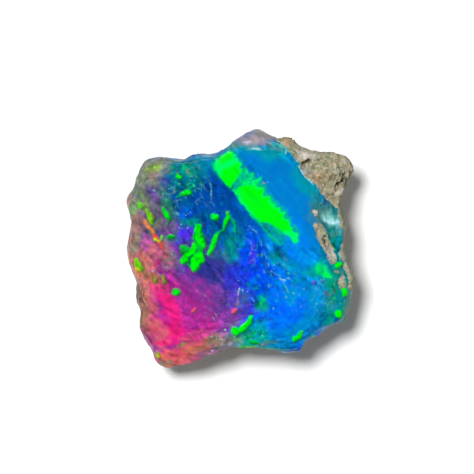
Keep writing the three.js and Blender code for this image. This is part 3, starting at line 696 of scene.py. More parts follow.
LAST_CLOUDS = [  # small patches laid over the others, all round
    ("lagoon", "glass_blue", 5.4, -4.6, 1.3, 0.7, 20, 0.5),
    ("glass_blue", "dark_teal", 1.4, -3.7, 1, 0.6, 60, 0.4),
    ("deep_blue", "ink_blue", -5.5, 3.4, 0.9, 0.5, 10, 0.8),
    ("sea_green", "dark_teal", -4.75, 2.2, 0.7, 0.4, 10, 0.7),
    ("ochre", "moss_grey", -7.6, 0.3, 0.8, 0.5, -40, 0.6),
    ("ochre", "amber", -8.6, -2.7, 0.9, 0.6, -60, 0.6),
    ("salmon", "ochre", -8.2, -8.1, 1.4, 0.7, -45, 0.5),
    ("olive", "moss_grey", -8.6, 2.4, 0.8, 0.5, -60, 0.6),
    ("ochre", "salmon", -8.6, 1.3, 0.7, 0.4, -60, 0.5),
    ("olive", "lime", -9.6, 4.3, 0.7, 0.45, -60, 0.6),
    ("moss_grey", "ochre", -10.6, 0.3, 1.2, 0.6, 80, 0.6),
    ("dark_teal", "slate", -2.6, -0.7, 0.9, 0.6, 70, 0.55),
    ("rose", "salmon", -3.8, -9.6, 0.9, 0.4, 20, 0.6),
    ("mauve_grey", "orchid", -0.6, -7.7, 0.8, 0.4, 30, 0.5),
    ("teal", "lagoon", 7.7, 6.6, 2.6, 0.4, -56, 0.75),
    ("dark_teal", "sea_green", -5.6, 2.3, 0.6, 0.4, 10, 0.55),
    ("rose", "fuchsia", -2.6, -7.7, 0.9, 0.5, 20, 0.35),
    ("orchid", "purple", -9.6, 0.3, 0.7, 0.45, 80, 0.55),
    ("pale_teal", "pearl", 0.4, 10.3, 0.7, 0.25, 10, 0.35),
    ("deep_blue", "ink_blue", 1.4, -3.7, 0.9, 0.5, 60, 0.35),
]
print(len(RIGHT_CLOUDS + LAST_CLOUDS), "clouds more")

# %% Lay the clouds
CLOUDS = BROAD_CLOUDS + UPPER_CLOUDS + LOWER_CLOUDS + RIGHT_CLOUDS + LAST_CLOUDS
CLOUD_BEND = 0.55  # mm
FINE_BEND = 0.6  # share of that for the finer bends
EDGE_NOISES = 5  # how many fields of noise the clouds take turns with, for their uneven edges
THREAD_SHARE = 0.6
MOTTLE = 0.24  # how much the fine strands lighten and darken the colour


def body_colours(points):
    """The opal's colour at each point, and the colour threading it: clouds laid in order."""
    bend = noise_arrows(points, 1.5, 31, 32)
    bend += FINE_BEND * noise_arrows(points, 0.4, 33, 34)
    at = points[:, :2] + bend * CLOUD_BEND
    uneven = [0.5 * rough_noise(points, 0.8, 91 + i) for i in range(EDGE_NOISES)]
    colour, thread = ground("deep_blue"), ground("ink_blue")
    for i, (name, through, x, y, long, wide, turn, strength) in enumerate(CLOUDS):
        c, s = math.cos(math.radians(turn)), math.sin(math.radians(turn))
        along = ((at[:, 0] - x) * c + (at[:, 1] - y) * s) / long
        across = ((at[:, 1] - y) * c - (at[:, 0] - x) * s) / wide
        reach = np.hypot(along, across) + uneven[i % EDGE_NOISES]
        share = strength * (1 - soft_step(reach, 0.3, 1.3))
        wash(colour, name, share)
        wash(thread, through, share)
    return colour, thread


opal_colour, thread_colour = body_colours(places)
thread_share = THREAD_SHARE * soft_step(broad_strands, 0.2, 1.6) * (0.35 + 0.65 * busy)
opal_colour += (thread_colour - opal_colour) * thread_share[:, None]
opal_colour *= np.clip(1 + MOTTLE * busy * fine_strands, 0.45, 1.6)[:, None]
print(len(CLOUDS), "clouds; average colour", opal_colour.mean(axis=0).round(2))

# %% [markdown]
# ## Flashes
#
# Where a layer of spheres lies at just the right angle, it throws back one pure colour. Such a
# flash has a crisp, ragged edge, quite unlike the clouds. The stone's best one is a wide bar of
# green that slants across it. Round it lie blobs and streaks like drops of paint. Each is an
# outline or a brush stroke, kept on the points as a distance to its edge, so that the material
# can cut the edge far more sharply than the points lie.

# %% Draw the halos and the bar
HALOS = [  # soft glows round the flashes: colour, width of the fade in mm, outline
    ("jade", 0.35, [  # round the bar's upper block
        (-2.9, 8.3), (-2.5, 9), (-1.9, 9.45), (-1.3, 9.95), (-0.6, 9.7), (-0.35, 8.9), (0.35, 8.2),
        (0.4, 7.7), (-0.3, 6.8), (-1.05, 5.95), (-1.8, 6.65), (-2.5, 7.5),
    ]),
    ("jade", 0.3, [  # between the blocks and round the lower one
        (0.1, 8.1), (0.7, 7.75), (1.1, 7.3), (1.9, 7), (2.5, 5.9), (3.2, 4.8), (4, 4.2), (4.6, 3.5),
        (5.2, 2.4), (5.8, 1.4), (5.75, 0.6), (5.2, 0.5), (4.7, 1.5), (3.4, 2.4), (1.5, 3), (0.4, 4.2),
        (-0.8, 5.8), (-0.9, 6.1), (-0.2, 7),
    ]),
    ("sea_glass", 0.35, [  # the thin tongue at its lower end
        (1.9, 2.6), (2.9, 2.4), (3.6, 1.8), (4.5, 1.4), (4.6, 0.9), (4.2, 0.6), (3.6, 0.5), (3, 1.1),
        (2.4, 1.7),
    ]),
    ("sea_glass", 0.4, [  # round the bright flash near the right-hand edge, in two steps
        (6.4, -2.3), (7, -2), (7.5, -1.2), (8.1, -1.1), (8.9, -2.2), (9.2, -3), (8.4, -3.3), (7.4, -2.8),
        (6.6, -2.8),
    ]),
    ("mint", 0.3, [
        (7.4, -2.1), (7.6, -1.4), (8.2, -1.6), (8.8, -2.3), (9, -2.8), (8.3, -3),
    ]),
    ("violet", 0.2, [  # a streak in the blue right of the middle
        (0.95, 0.8), (1.2, 0.8), (1.3, -0.4), (1.25, -1.4), (0.95, -1.4), (0.9, -0.4),
    ]),
]
BARS = [  # colour, outline
    ("fire_green", [  # the bar's upper block
        (-1.2, 9.7), (-0.8, 9.55), (-0.65, 9.2), (-0.75, 8.9), (-0.4, 8.7), (0, 8.3), (0.15, 7.9),
        (0.1, 7.4), (-0.1, 7.2), (-0.45, 6.9), (-0.75, 6.5), (-1.05, 6.05), (-1.3, 6.15), (-1.7, 6.55),
        (-2.1, 7), (-2.4, 7.45), (-2.55, 7.9), (-2.5, 8.4), (-2.2, 8.95), (-1.8, 9.4),
    ]),
    ("fire_green", [  # the long lower block, with its toothed right-hand edge
        (-0.6, 5.75), (-0.2, 6.1), (0.2, 6.3), (0.9, 6.35), (1.4, 6.65), (1.7, 6.3), (1.7, 6),
        (2.3, 5.85), (2.25, 5.35), (2.7, 5.15), (2.9, 4.7), (3.1, 4.25), (3.8, 4.15), (3.8, 3.7),
        (4.3, 3.55), (4.3, 3.1), (4.8, 2.7), (5.1, 2.1), (5.2, 1.6), (4.9, 1.3), (4.4, 1.45), (3.9, 1.6),
        (3.6, 2.1), (2.8, 2.5), (1.9, 2.65), (1.25, 3), (0.8, 3.6), (0.35, 4.15), (-0.2, 4.85),
    ]),
    ("mint", [  # the bright flash near the right-hand edge
        (8.1, -2.35), (8.5, -2.3), (8.85, -2.5), (8.95, -2.75), (8.8, -2.95), (8.4, -2.95), (8.05, -2.8),
        (7.9, -2.55),
    ]),
]
BAR_STROKES = [  # bluer green within the bar and round it: a colour, then its strokes and spots
    ("jade", [(-2.65, 8.4, 0.2), (-2.6, 7.9, 0.18)]),
    ("mint", [(-2.4, 8.6, 0.26), (-2.3, 8, 0.3), (-2.1, 7.4, 0.14)],
     [(-2.3, 7.9, 0.2), (-1.4, 8.3, 0.24), (-0.5, 8.75, 0.22)]),
    ("jade", [(0.5, 7.85, 0.1), (0.65, 7.5, 0.16)], [(1.1, 7.3, 0.09), (0.95, 7, 0.1), (0.3, 6.6, 0.12)]),
    ("mint", [(0.2, 6.5, 0.1), (1, 6.6, 0.12), (1.8, 6.85, 0.14)],
     [(-0.75, 5.8, 0.1), (-0.15, 4.85, 0.1), (0.5, 4.05, 0.1), (1.1, 3.2, 0.1)]),
    ("jade", [(1.1, 3.2, 0.1), (1.95, 2.3, 0.08), (2.7, 1.45, 0.08), (3.3, 0.85, 0.09),
      (3.9, 0.45, 0.09), (4.3, 0.65, 0.06)]),
    ("sea_green", [(2.1, 2.55, 0.06), (2.6, 2.1, 0.08)], [(3, 2.3, 0.08), (3.5, 1.7, 0.1)]),
    ("jade", [(3.5, 1.9, 0.14), (3.95, 1.5, 0.16)]),
    ("mint", [(4.4, 1.5, 0.14), (5, 1.4, 0.3), (5.3, 1.15, 0.4), (5.4, 0.85, 0.34)]),
    ("jade", [(7.75, -1.75, 0.1), (7.9, -2, 0.16), (8.1, -2.35, 0.2)],
     [(7.5, -2.4, 0.08), (8, -2.5, 0.16)]),
    ("fire_green", (8.55, -2.6, 0.12)),
    ("pine", [(2.3, 2.2, 0.08), (2.8, 1.7, 0.08)]),
]
print(len(HALOS), "halos,", len(BARS), "outlines")

# %% Draw the drops and streaks
RIGHT_DROPS = [  # on the right-hand edge, some of them over the rock
    [(9.7, -1.7, 0.32), (9.9, -1.6, 0.24)],
    [(10.3, -4.3, 0.34), (10.35, -4.5, 0.32)],
    [(9.7, -6.5, 0.36), (9.75, -6.7, 0.36)],
]
STROKES = [  # a colour, then its strokes and spots
    # the cluster left of the middle
    ("forest_green", [(-4.3, 1.3, 0.45), (-4.1, 0.5, 0.55), (-4.4, -0.2, 0.6), (-4.3, -1, 0.65)],
     [(-5.7, -0.3, 0.3), (-5.2, -0.9, 0.45), (-4.8, -1.5, 0.45)]),
    ("leaf_green", [(-5.9, 0.1, 0.26), (-5.5, -0.05, 0.32)]),
    ("fire_green", [(-4.3, 2.15, 0.28), (-4.35, 1.75, 0.34)]),
    ("leaf_green", [(-4.65, 1.5, 0.18), (-4.75, 1, 0.16)], [(-3.95, 1.3, 0.2), (-3.85, 0.9, 0.18)]),
    ("fire_green", [(-4.35, 1.25, 0.32), (-4.4, 0.95, 0.26)], [(-4.1, 0.65, 0.32), (-3.9, 0.3, 0.36)],
     [(-4.75, 0.35, 0.26), (-4.7, 0, 0.38), (-5.1, -0.5, 0.36), (-5.5, -1, 0.36), (-5.85, -1.3, 0.26)]),
    ("leaf_green", [(-4.2, -0.05, 0.36), (-4.3, -0.5, 0.38)]),
    ("fire_green", [(-4.5, -0.95, 0.34), (-4.2, -0.95, 0.46), (-4, -1.2, 0.4)],
     [(-4.5, -1.3, 0.5), (-4.6, -1.7, 0.48), (-4.65, -1.95, 0.36)]),
    ("pine", [(-4.8, -0.65, 0.08), (-5.1, -1, 0.12), (-5.2, -1.4, 0.1)]),
    ("jade", [(-5.4, -1.5, 0.06), (-5.2, -1.85, 0.07)]),
    # the drop and the long worm above the middle
    ("fire_green", [(-2.7, 3.15, 0.3), (-2.5, 3.1, 0.3)]),
    ("mint", (-2.7, 3.25, 0.12)),
    ("jade", [(-1.05, 3.1, 0.12), (-0.75, 2.7, 0.12), (-0.6, 2.2, 0.08), (-0.6, 1.6, 0.08)]),
    ("sea_green", [(-1.8, 1.9, 0.12), (-2.1, 1.6, 0.2), (-2.4, 1.5, 0.16)]),
    ("leaf_green", [(-1.35, 3.55, 0.16), (-1.25, 3.2, 0.26), (-1.45, 2.8, 0.28), (-1.6, 2.3, 0.2),
      (-1.7, 1.85, 0.14)]),
    ("fire_green", [(-1.25, 3.2, 0.16), (-1.5, 2.8, 0.18), (-1.6, 2.3, 0.14)]),
    ("lime", (-1.38, 3.6, 0.1)),
    ("fire_green", [(-2.4, 1.45, 0.16), (-2.6, 0.9, 0.26), (-2.8, 0.4, 0.24), (-3, -0.1, 0.24),
      (-3.2, -0.5, 0.2)]),
    # blobs over the left-hand side
    ("leaf_green", [(-6.35, 7.4, 0.2), (-6.25, 7.15, 0.32)]),
    ("fire_green", (-6.2, 7.1, 0.2)),
    ("leaf_green", [(-6, 5.35, 0.16), (-5.6, 5.5, 0.32), (-5.2, 5.6, 0.26)]),
    ("fire_green", (-5.75, 5.55, 0.16), [(-5.4, 5.75, 0.14), (-5.2, 5.5, 0.12)]),
    ("sea_green", (-6.35, 5.1, 0.14)),
    ("jade", (-4.8, 6.25, 0.18)),
    ("leaf_green", (-5.3, 6.4, 0.1), (-5.1, 6.05, 0.12),
     [(-7.85, 4, 0.14), (-7.45, 3.4, 0.28), (-7.2, 3, 0.2)]),
    ("fire_green", [(-7.6, 3.6, 0.14), (-7.4, 3.3, 0.2)]),
    ("lime", [(-10.15, 4.4, 0.18), (-10, 4.1, 0.24)]),
    ("leaf_green", (-10, 4.2, 0.1)),
    ("olive", [(-9.4, 3.7, 0.24), (-8.95, 3, 0.4)]),
    ("lime", [(-9.4, 3.8, 0.12), (-9.2, 3.3, 0.22), (-9, 2.8, 0.24), (-8.9, 2.5, 0.12)]),
    ("orange", [(-9.6, 2.75, 0.1), (-9.35, 2.3, 0.14), (-9, 1.8, 0.15), (-8.75, 1.5, 0.14)]),
    ("red", [(-8.7, 1.3, 0.18), (-8.4, 1, 0.18), (-8, 0.35, 0.13), (-7.8, 0, 0.08)]),
    ("yellow", [(-8.6, 0.9, 0.14), (-8.3, 0.75, 0.16), (-8.05, 0.75, 0.1)]),
    ("lime", [(-7.9, 1.2, 0.12), (-8, 0.85, 0.14)]),
    ("leaf_green", [(-7.25, 1.1, 0.2), (-6.9, 1.2, 0.26)]),
    ("lime", [(-10.5, -1.2, 0.2), (-10.3, -1.7, 0.36), (-10.1, -2, 0.3)]),
    ("yellow", [(-10.5, -2, 0.12), (-10, -2.3, 0.12)]),
    ("olive", [(-8.65, -3, 0.26), (-8.65, -3.3, 0.24)]),
    ("gold_green", [(-8.6, -3, 0.12), (-8.65, -3.4, 0.1)]),
    ("olive", [(-7.8, -2.8, 0.24), (-7.7, -3.3, 0.24)]),
    ("gold_green", [(-7.85, -2.8, 0.1), (-7.7, -3.3, 0.1)]),
    ("leaf_green", (-6.45, -4.4, 0.38)),
    ("fire_green", (-6.42, -4.45, 0.26)),
    # the lower edge
    ("fire_green", [(1, -6.9, 0.22), (0.8, -7.4, 0.26), (0.3, -7.9, 0.3), (0, -8.2, 0.24)],
     [(-0.7, -8.2, 0.36), (-0.5, -8.4, 0.36)], [(5.9, -8.3, 0.2), (5.7, -8.8, 0.3), (5.3, -9.1, 0.26)]),
    ("leaf_green", [(0.9, -9.3, 0.1), (1.3, -9.35, 0.2), (1.7, -9.45, 0.12)]),
    ("gold_green", [(-8.4, -10.5, 0.2), (-8.3, -10.8, 0.22)]),
    ("yellow", (-8.35, -10.7, 0.08)),
    ("flame_pink", [(-0.7, -6.3, 0.24), (-0.55, -6.15, 0.16)],
     [(-4.75, -6.25, 0.2), (-4.65, -6.1, 0.12)]),
    # the right-hand edge
    ("fire_green", *RIGHT_DROPS),
    ("leaf_green", (7.75, 2.25, 0.14)),
    ("jade", (7.1, -8.8, 0.2)),
]
print(sum(len(strokes) for name, *strokes in STROKES), "drops and streaks")

# %% Draw the glints
GLINTS = [  # painted highlights, scratches, stains and dots: a colour, then its strokes and spots
    # painted highlights on the upper edge, along the border of the rock and in the glassy hollow, and a band
    # of teal along that border
    ("lilac_white", [(0.3, 10.6, 0.1), (0.7, 10.65, 0.14)]),
    ("cyan_white", [(1.1, 9.97, 0.05), (1.6, 10, 0.11), (2, 9.9, 0.04)],
     [(8.6, 2.75, 0.1), (9.1, 2.8, 0.12), (9.4, 2.65, 0.08)]),
    ("pale_teal", [(3.1, 10.6, 0.05), (4.2, 10.15, 0.1), (5.1, 9.4, 0.07), (5.7, 8.6, 0.07)]),
    ("cyan_white", [(4.45, 9.75, 0.06), (4.45, 9.45, 0.07)],
     [(5.78, 8.22, 0.08), (6.13, 7.58, 0.14), (6.73, 6.92, 0.13), (7.18, 6.35, 0.07)]),
    ("lagoon", [(7.35, 6.45, 0.16), (8.35, 5.3, 0.2), (9.5, 4.15, 0.16)]),
    # single scratches and stains
    ("pale_teal", [(-3.1, 6.5, 0.04), (-3, 5.6, 0.08), (-3, 4.9, 0.05)]),
    ("indigo", (7.3, -3.4, 0.24)),
    ("orchid", (7.25, -3.35, 0.1)),
    ("slate", [(8.4, -4.3, 0.14), (8.6, -4.6, 0.2)]),
    ("pale_teal", [(-6.5, 3.6, 0.1), (-6.3, 3.4, 0.12)]),
    ("lilac_white", [(-0.18, -4, 0.07), (-0.25, -4.6, 0.07)]),
    ("ochre", [(-0.3, -4.9, 0.06), (-0.45, -5.7, 0.08)]),
    # the notch in the left-hand edge, and the cracks below it
    ("notch_brown", [(-10.4, -4, 0.26), (-10.3, -4.7, 0.4), (-10.1, -5.2, 0.24)]),
    ("soot_brown", [(-10.3, -3.5, 0.04), (-10.45, -4, 0.08), (-10.5, -4.6, 0.06)],
     [(-10.3, -5.1, 0.1), (-9.95, -5, 0.08), (-9.8, -5.35, 0.13), (-9.7, -5.6, 0.06)],
     [(-9.7, -4.3, 0.04), (-9.75, -4.8, 0.05)]),
    ("salmon", (-9.8, -5.8, 0.1)),
    ("soot_brown", [(-9.95, -6.3, 0.08), (-9.9, -6.8, 0.06), (-9.95, -7.4, 0.06)]),
    # dots over the upper left side
    ("pine", (-6.4, 5.9, 0.2)),
    ("olive", (-6.7, 5.7, 0.13)),
    ("jade", (-5.1, 6.5, 0.12), (-4.7, 6.7, 0.1)),
    ("sea_green", (-6.8, 8.1, 0.2), (-5, 7.4, 0.2)),
    ("jade", [(-5.8, 8.3, 0.12), (-5.7, 8, 0.18)], (-6.6, 6.6, 0.1), (-6.9, 7.5, 0.1)),
    ("mauve_grey", [(-5.35, 7.85, 0.12), (-5.3, 7.5, 0.1)]),
    # pale chips, one by one, all over
    ("pale_teal", (-8.7, 5.8, 0.12), (-7.8, 5.4, 0.1), (-7, 4, 0.1), (-4.7, 6.2, 0.12), (-5.1, 7.2, 0.1),
     (-6, 2.4, 0.12), (-5.4, 2, 0.12), (4.7, -3, 0.12), (5.2, -4.5, 0.12), (4.5, -4.9, 0.12),
     (7.5, -5.5, 0.12), (8.4, -5.5, 0.1), (3.2, -6, 0.12), (2.6, -8.2, 0.1)),
    # dots down the left-hand side and in the fuchsia
    ("lime", (-8.65, 8.1, 0.14)),
    ("yellow", (-8.65, 8.15, 0.06)),
    ("gold_green", (-9.35, 7.9, 0.1)),
    ("amber", (-7.95, -10.75, 0.2)),
    ("moss_grey", [(-7.45, -1.2, 0.14), (-7.15, -1, 0.12)]),
    ("pale_teal", (-6.95, -0.6, 0.08), (-6.8, -0.3, 0.06)),
    ("pearl", (-3.6, -5.9, 0.07), [(-2.6, -6.4, 0.05), (-2.4, -6.9, 0.06)],
     [(-2.9, -6.8, 0.05), (-2.6, -7.2, 0.05)], (-2.2, -7.6, 0.07)),
    ("orchid", (-2.9, -4.6, 0.08), (-3.5, -4.7, 0.06)),
    ("pearl", (-4.4, -4.2, 0.07)),
    ("lilac_white", (-2.9, -8.8, 0.1), (-2, -8.6, 0.09), (-2.9, -10.25, 0.1), (-3.2, -10.55, 0.07)),
    # threads below the middle
    ("orchid", [(-1.9, -7.7, 0.02), (0.1, -6.8, 0.04), (1, -6.45, 0.02)]),
    ("misty_teal", [(1, -6.45, 0.02), (2.1, -6.05, 0.03)]),
    ("teal", [(0.6, -3.5, 0.08), (0.9, -3.9, 0.06)]),
    ("sea_green", [(1.2, -4.1, 0.08), (1.7, -3.7, 0.06)]),
    # short threads right of the middle
    ("pale_teal", [(1.2, 1.9, 0.03), (1.5, 1.5, 0.05)], [(1.95, 0.7, 0.05), (2, 0.2, 0.03)],
     [(2.3, -0.4, 0.05), (2.5, -0.9, 0.04)], [(0.9, 2.3, 0.04), (1.1, 1.8, 0.03)],
     [(2.7, -1.4, 0.05), (2.75, -1.9, 0.03)]),
    ("teal", [(1.5, 0.5, 0.06), (1.6, 0, 0.07)]),
    # the left-hand edge, then the lower edge
    ("crack_brown", (-10.9, 2.7, 0.12)),
    ("pearl", [(-11, 1.7, 0.05), (-11, 1, 0.07)]),
    ("lilac_white", [(-2.3, -9.05, 0.02), (-1.6, -9.2, 0.04)]),
    ("lime", [(-0.2, -9.8, 0.06), (0.6, -9.85, 0.08), (1.6, -9.8, 0.06)]),
    ("misty_teal", [(2, -9.4, 0.06), (2.8, -9.35, 0.1), (3.6, -9.5, 0.06)]),
    ("pale_teal", [(3.7, -10.05, 0.03), (4.6, -10.2, 0.05), (5.6, -10, 0.03)]),
    ("jade", (0.3, -8.9, 0.12), (1.4, -8.5, 0.14), (0.9, -8, 0.1), (1.9, -9, 0.12)),
    ("mint", (2.2, -8.4, 0.07)),
    ("jade", (-0.1, -9.3, 0.1), (3.6, -5.2, 0.09), (5.1, -5, 0.09), (4.9, -5.6, 0.08)),
    # threads in the blue of the lower half
    ("cyan_white", [(3.8, -3, 0.05), (4.4, -3.2, 0.09)]),
    ("pale_teal", [(2.9, -2.3, 0.05), (3.9, -2.8, 0.06), (4.3, -3.5, 0.05), (4.7, -4.4, 0.06)],
     [(-0.4, -4.3, 0.05), (0.2, -4.1, 0.06)], [(0.9, -4.9, 0.07), (1.3, -5.3, 0.05)]),
    ("rust", (0.9, -5.6, 0.08), (-0.3, -5.4, 0.08)),
    # the strip of rock and the right-hand edge
    ("tan", [(9.35, -2.3, 0.08), (9.7, -2.35, 0.1)]),
    ("pearl", (9.6, -2.4, 0.05)),
    ("pine", (9.8, -2.65, 0.1)),
    ("olive", (10.1, -2.4, 0.12)),
    ("pine", [(9.6, -3.2, 0.1), (9.5, -3.6, 0.12)], [(9.1, -3.8, 0.14), (9.3, -4.3, 0.14)],
     [(9.2, 0.4, 0.2), (9.4, 0.15, 0.1)]),
    ("leaf_green", (9.3, -0.1, 0.14)),
    ("pale_teal", (9.75, -0.4, 0.08)),
    ("pine", [(7.7, 3.1, 0.12), (7.9, 2.7, 0.08)], (9.6, -5.3, 0.12)),
    ("jade", (9.3, -5, 0.16)),
    ("pine", (8.6, -5, 0.1)),
    # two dots beside the bar
    ("pale_teal", (2.6, 6.6, 0.1)),
    ("rust", (2.2, 6.55, 0.12)),
]
print(sum(len(strokes) for name, *strokes in GLINTS), "glints")

# %% [markdown]
# The bar is ragged along its long sides, with fine teeth that point across it. They could be
# drawn one by one, but noise that is squeezed along the bar gives the same narrow teeth. The
# halos are laid first, straight into the body colour, because they have no crisp edge.

# %% Teeth and halos
RAGGED = 0.16  # mm that the edges of all flashes wander
BAR_TURN = math.radians(-48.5)
BAR_MIDDLE = (1.6, 4.7)  # mm, a point on its long axis
TOOTH_WIDTH = 0.17  # mm
TOOTH_LENGTH = 0.26  # mm

ragged = noise_arrows(places, 0.5, 41, 42) * RAGGED
flash_xy = places[:, :2] + ragged
along = (flash_xy - BAR_MIDDLE) @ (math.cos(BAR_TURN), math.sin(BAR_TURN))
across = (flash_xy - BAR_MIDDLE) @ (-math.sin(BAR_TURN), math.cos(BAR_TURN))
squeezed = np.stack([along / TOOTH_WIDTH, across * 0.6, places[:, 2] * 0], axis=1)
toothed = TOOTH_LENGTH * soft_step(across, 0.1, 0.7)
toothed = toothed + TOOTH_LENGTH * soft_step(-across, 0.3, 0.8) * soft_step(along, 1.2, 2.4)
teeth = toothed * rough_noise(squeezed, 1.0, 43, 2)
for name, fade, outline in HALOS:
    share = facing_up * soft_step(in_outline(flash_xy + ragged, outline) + teeth, -fade, fade)
    share *= 0.85 + 0.15 * np.clip(fine_strands, -1, 1)
    wash(opal_colour, name, share)
    wash(thread_colour, name, share * 0.7)
print("teeth up to", np.abs(teeth).max().round(2), "mm long")

# %% Paint the flashes on the points
JOIN = 0.12  # mm over which one painted colour runs into the next
BAR_JOIN = 0.22
FRINGE_SHARE = 0.7  # how much of the bar's toothed rim turns to mint
UNDER_SHIFT = (0.14, -0.14)  # mm from a drop to the shade under it, away from the lamp
NOT_ON_WALLS = 5  # mm taken off the shade's depth where the stone faces sideways


def paint(drawn, measure, points_xy, join=JOIN):
    """Depth inside the nearest of the drawn shapes, and the colour of the topmost one."""
    best = np.full(len(points_xy), -FAR)
    colour = np.zeros((len(points_xy), 3))
    for name, *shapes in drawn:
        for shape in shapes:
            depth = measure(points_xy, shape)
            share = np.where((best < 0) & (depth > best), 1, soft_step(depth, -join, join))
            wash(colour, name, share)
            best = np.maximum(best, depth)
    return best, colour


def lay_over(under, over, join=JOIN):
    """Puts one painting, a depth and a colour, on top of another."""
    share = np.where(over[0] > under[0], 1, soft_step(over[0], -join, join))[:, None]
    return np.maximum(under[0], over[0]), under[1] + (over[1] - under[1]) * share


blocks_depth, blocks_colour = paint(BARS, in_outline, flash_xy)
drawn_in = paint(BAR_STROKES, in_stroke, flash_xy, BAR_JOIN)
bar_depth, bar_colour = lay_over((blocks_depth + teeth, blocks_colour), drawn_in, BAR_JOIN)
fringe = soft_step(across, 0.3, 0.8) * (1 - soft_step(bar_depth, 0.05, 0.3))
wash(bar_colour, "mint", fringe * FRINGE_SHARE)
stroke_depth, stroke_colour = paint(STROKES, in_stroke, flash_xy)
glint_depth, glint_colour = paint(GLINTS, in_stroke, places[:, :2] + ragged * 0.7)
# painted shadow under each drop, shifted away from the lamp
under_depth = paint(STROKES, in_stroke, flash_xy - UNDER_SHIFT)[0] - NOT_ON_WALLS * (1 - facing_up)
flashing = (np.maximum(bar_depth, stroke_depth) > 0) & (facing_up > 0.5)
print("flashes cover", flashing.mean().round(3), "of the skin")

# %% [markdown]
# No flash is one flat colour. Fine grain runs along the bar, some of it bluer and some darker,
# and noise that is stretched along the bar draws it. The blobs are like drops, so each gets
# painted shade on its side away from the lamp, and a few creases of painted shade.

# %% Grain inside the flashes
BLUER_SHARE = 0.25
DARKER_SHARE = 0.14
LAMP_WAY = np.array((-0.62, 0.79))  # towards the lamp, as an arrow about 1 long
LAMP_STEP = 0.16  # mm that a drop's shape is shifted to find its shaded side
DROP_SHADE = 0.72
CREASE_SHADE = 0.45

stretched = np.stack([along * 0.35, across, places[:, 2]], axis=1)
wash(bar_colour, "mint", BLUER_SHARE * soft_step(rough_noise(stretched, 0.7, 51), 0.05, 0.5))
bar_colour *= 1 - DARKER_SHARE * soft_step(rough_noise(stretched, 0.5, 52), 0.1, 0.7)[:, None]
# painted shade on each drop's side away from the lamp, and along a few creases
lit_depth = paint(STROKES, in_stroke, flash_xy + LAMP_WAY * LAMP_STEP)[0]
shaded = soft_step((lit_depth - stroke_depth) / LAMP_STEP, -0.3, 0.8)
shaded = shaded * (1 - soft_step(stroke_depth, 0.02, 0.26))
painted_crease_shade = 1 - soft_step(np.abs(rough_noise(places, 0.6, 53, 3)), 0.0, 0.14)
darker = np.maximum(DROP_SHADE * shaded, CREASE_SHADE * painted_crease_shade * soft_step(stroke_depth, 0, 0.15))
stroke_colour *= 1 - darker[:, None]
flash_depth, flash_colour = lay_over((bar_depth, bar_colour), (stroke_depth, stroke_colour))
print("drops darkened by up to", darker.max().round(2))

# %% [markdown]
# A flash often sits on its own small dome, because the stone broke round the harder grains.
# Raising each one a little lets the lamp draw a light side and a dark side on it.

# %% Raise the flashes
DROP_RISE = 0.11  # mm
BAR_RISE = 0.4 * DROP_RISE

rise = DROP_RISE * facing_up * (1 - rock) * soft_step(stroke_depth, -0.12, 0.14)
rise += BAR_RISE * facing_up * (1 - rock) * soft_step(bar_depth, -0.1, 0.12)
shaped += normals * rise[:, None]
write_points(stone.data, shaped)
print("raised by up to", rise.max().round(3), "mm")

# %% [markdown]
# ## The broken sides
#
# The clouds carry on down the broken walls, because they fill the whole body. A wall shows them
# at a slant, so it flashes in bands instead of blobs, and much of it wears a thin brown skin of
# clay. The bands come from noise that is squeezed in height, cut at a high level, so that each
# band is short and bright.

# %% Bands and skin on the walls
BAND_COLOURS = ["leaf_green", "jade", "bright_blue", "orchid"]
BAND_LEVEL = 0.36  # noise above this level flashes
SKIN_SHARE = 0.55  # how much of the left-hand and front-left walls is skinned over
SKINNED_BEARING = math.radians(205)  # which way those walls face
WALL_SHADE = 0.3  # how much darker the body looks at a slant

wall = 1 - soft_step(normals[:, 2], -0.05, 0.2)
slanted = places * (0.7, 0.7, 1.8) + wander * 2
left_side = soft_step(np.cos(bearing - SKINNED_BEARING), -0.1, 0.7)
skin_level = rough_noise(places, 2.2, 61) + SKIN_SHARE * (left_side * 2 - 1) * 0.7
skin = wall * soft_step(skin_level, -0.02, 0.16)
band_colour = np.zeros((len(places), 3))
band_depth = np.full(len(places), -1.0)
for i, name in enumerate(BAND_COLOURS):
    level = rough_noise(slanted, 1.5, 70 + i) - BAND_LEVEL - soft_step(places[:, 1], 9.8, 11)
    band_colour[level > band_depth] = COLOURS[name]
    band_depth = np.maximum(band_depth, level)
opal_colour *= 1 - WALL_SHADE * wall[:, None]
thread_colour *= 1 - WALL_SHADE * wall[:, None]
print("walls cover", (wall.mean() * 100).round(), "% of the skin")

# %% [markdown]
# The clay skin is brown in front and greyer behind. On the left-hand edge the stone is broken
# back to dull brown potch, which is opal without play of colour, and a dark crack runs round
# that notch. It is painted as more of the same skin, in a darker brown.

# %% Colour the skin and the notch
NOTCH = (-10.3, -4.9, 4.0)  # mm, its middle
NOTCH_SIZE = (0.75, 1.1, 1.6)  # mm from its middle to its rim, along x, y and z
CRACK_AT = 0.75  # where the crack runs, as a share of that
CRACK_WIDTH = 0.12

skin_colour = ground("brown_skin")
wash(skin_colour, "mauve_grey", soft_step(places[:, 1], 2.0, 7.0))
wash(skin_colour, "dark_brown", soft_step(noise(places, 0.9, 62), 0, 0.8))
notch_gap = np.linalg.norm((places - NOTCH) / NOTCH_SIZE + wander, axis=1)
in_notch = (1 - soft_step(notch_gap, 0.7, 1.1)) * (1 - rock)
skin = np.maximum(skin, in_notch)
wash(skin_colour, "notch_brown", in_notch)
crack = in_notch * np.exp(-(((notch_gap - CRACK_AT) / CRACK_WIDTH) ** 2))
crack = crack * soft_step(noise(places, 0.7, 63), -0.5, 0.1)
wash(skin_colour, "crack_brown", crack, brightness=0.4)
opal_colour += (skin_colour - opal_colour) * (skin * 0.85)[:, None]
wash(thread_colour, "salmon", skin * 0.7, brightness=0.6)
steep = wall > 0.85
flash_depth = np.where(steep, band_depth * 0.6 - skin * 0.5, flash_depth)
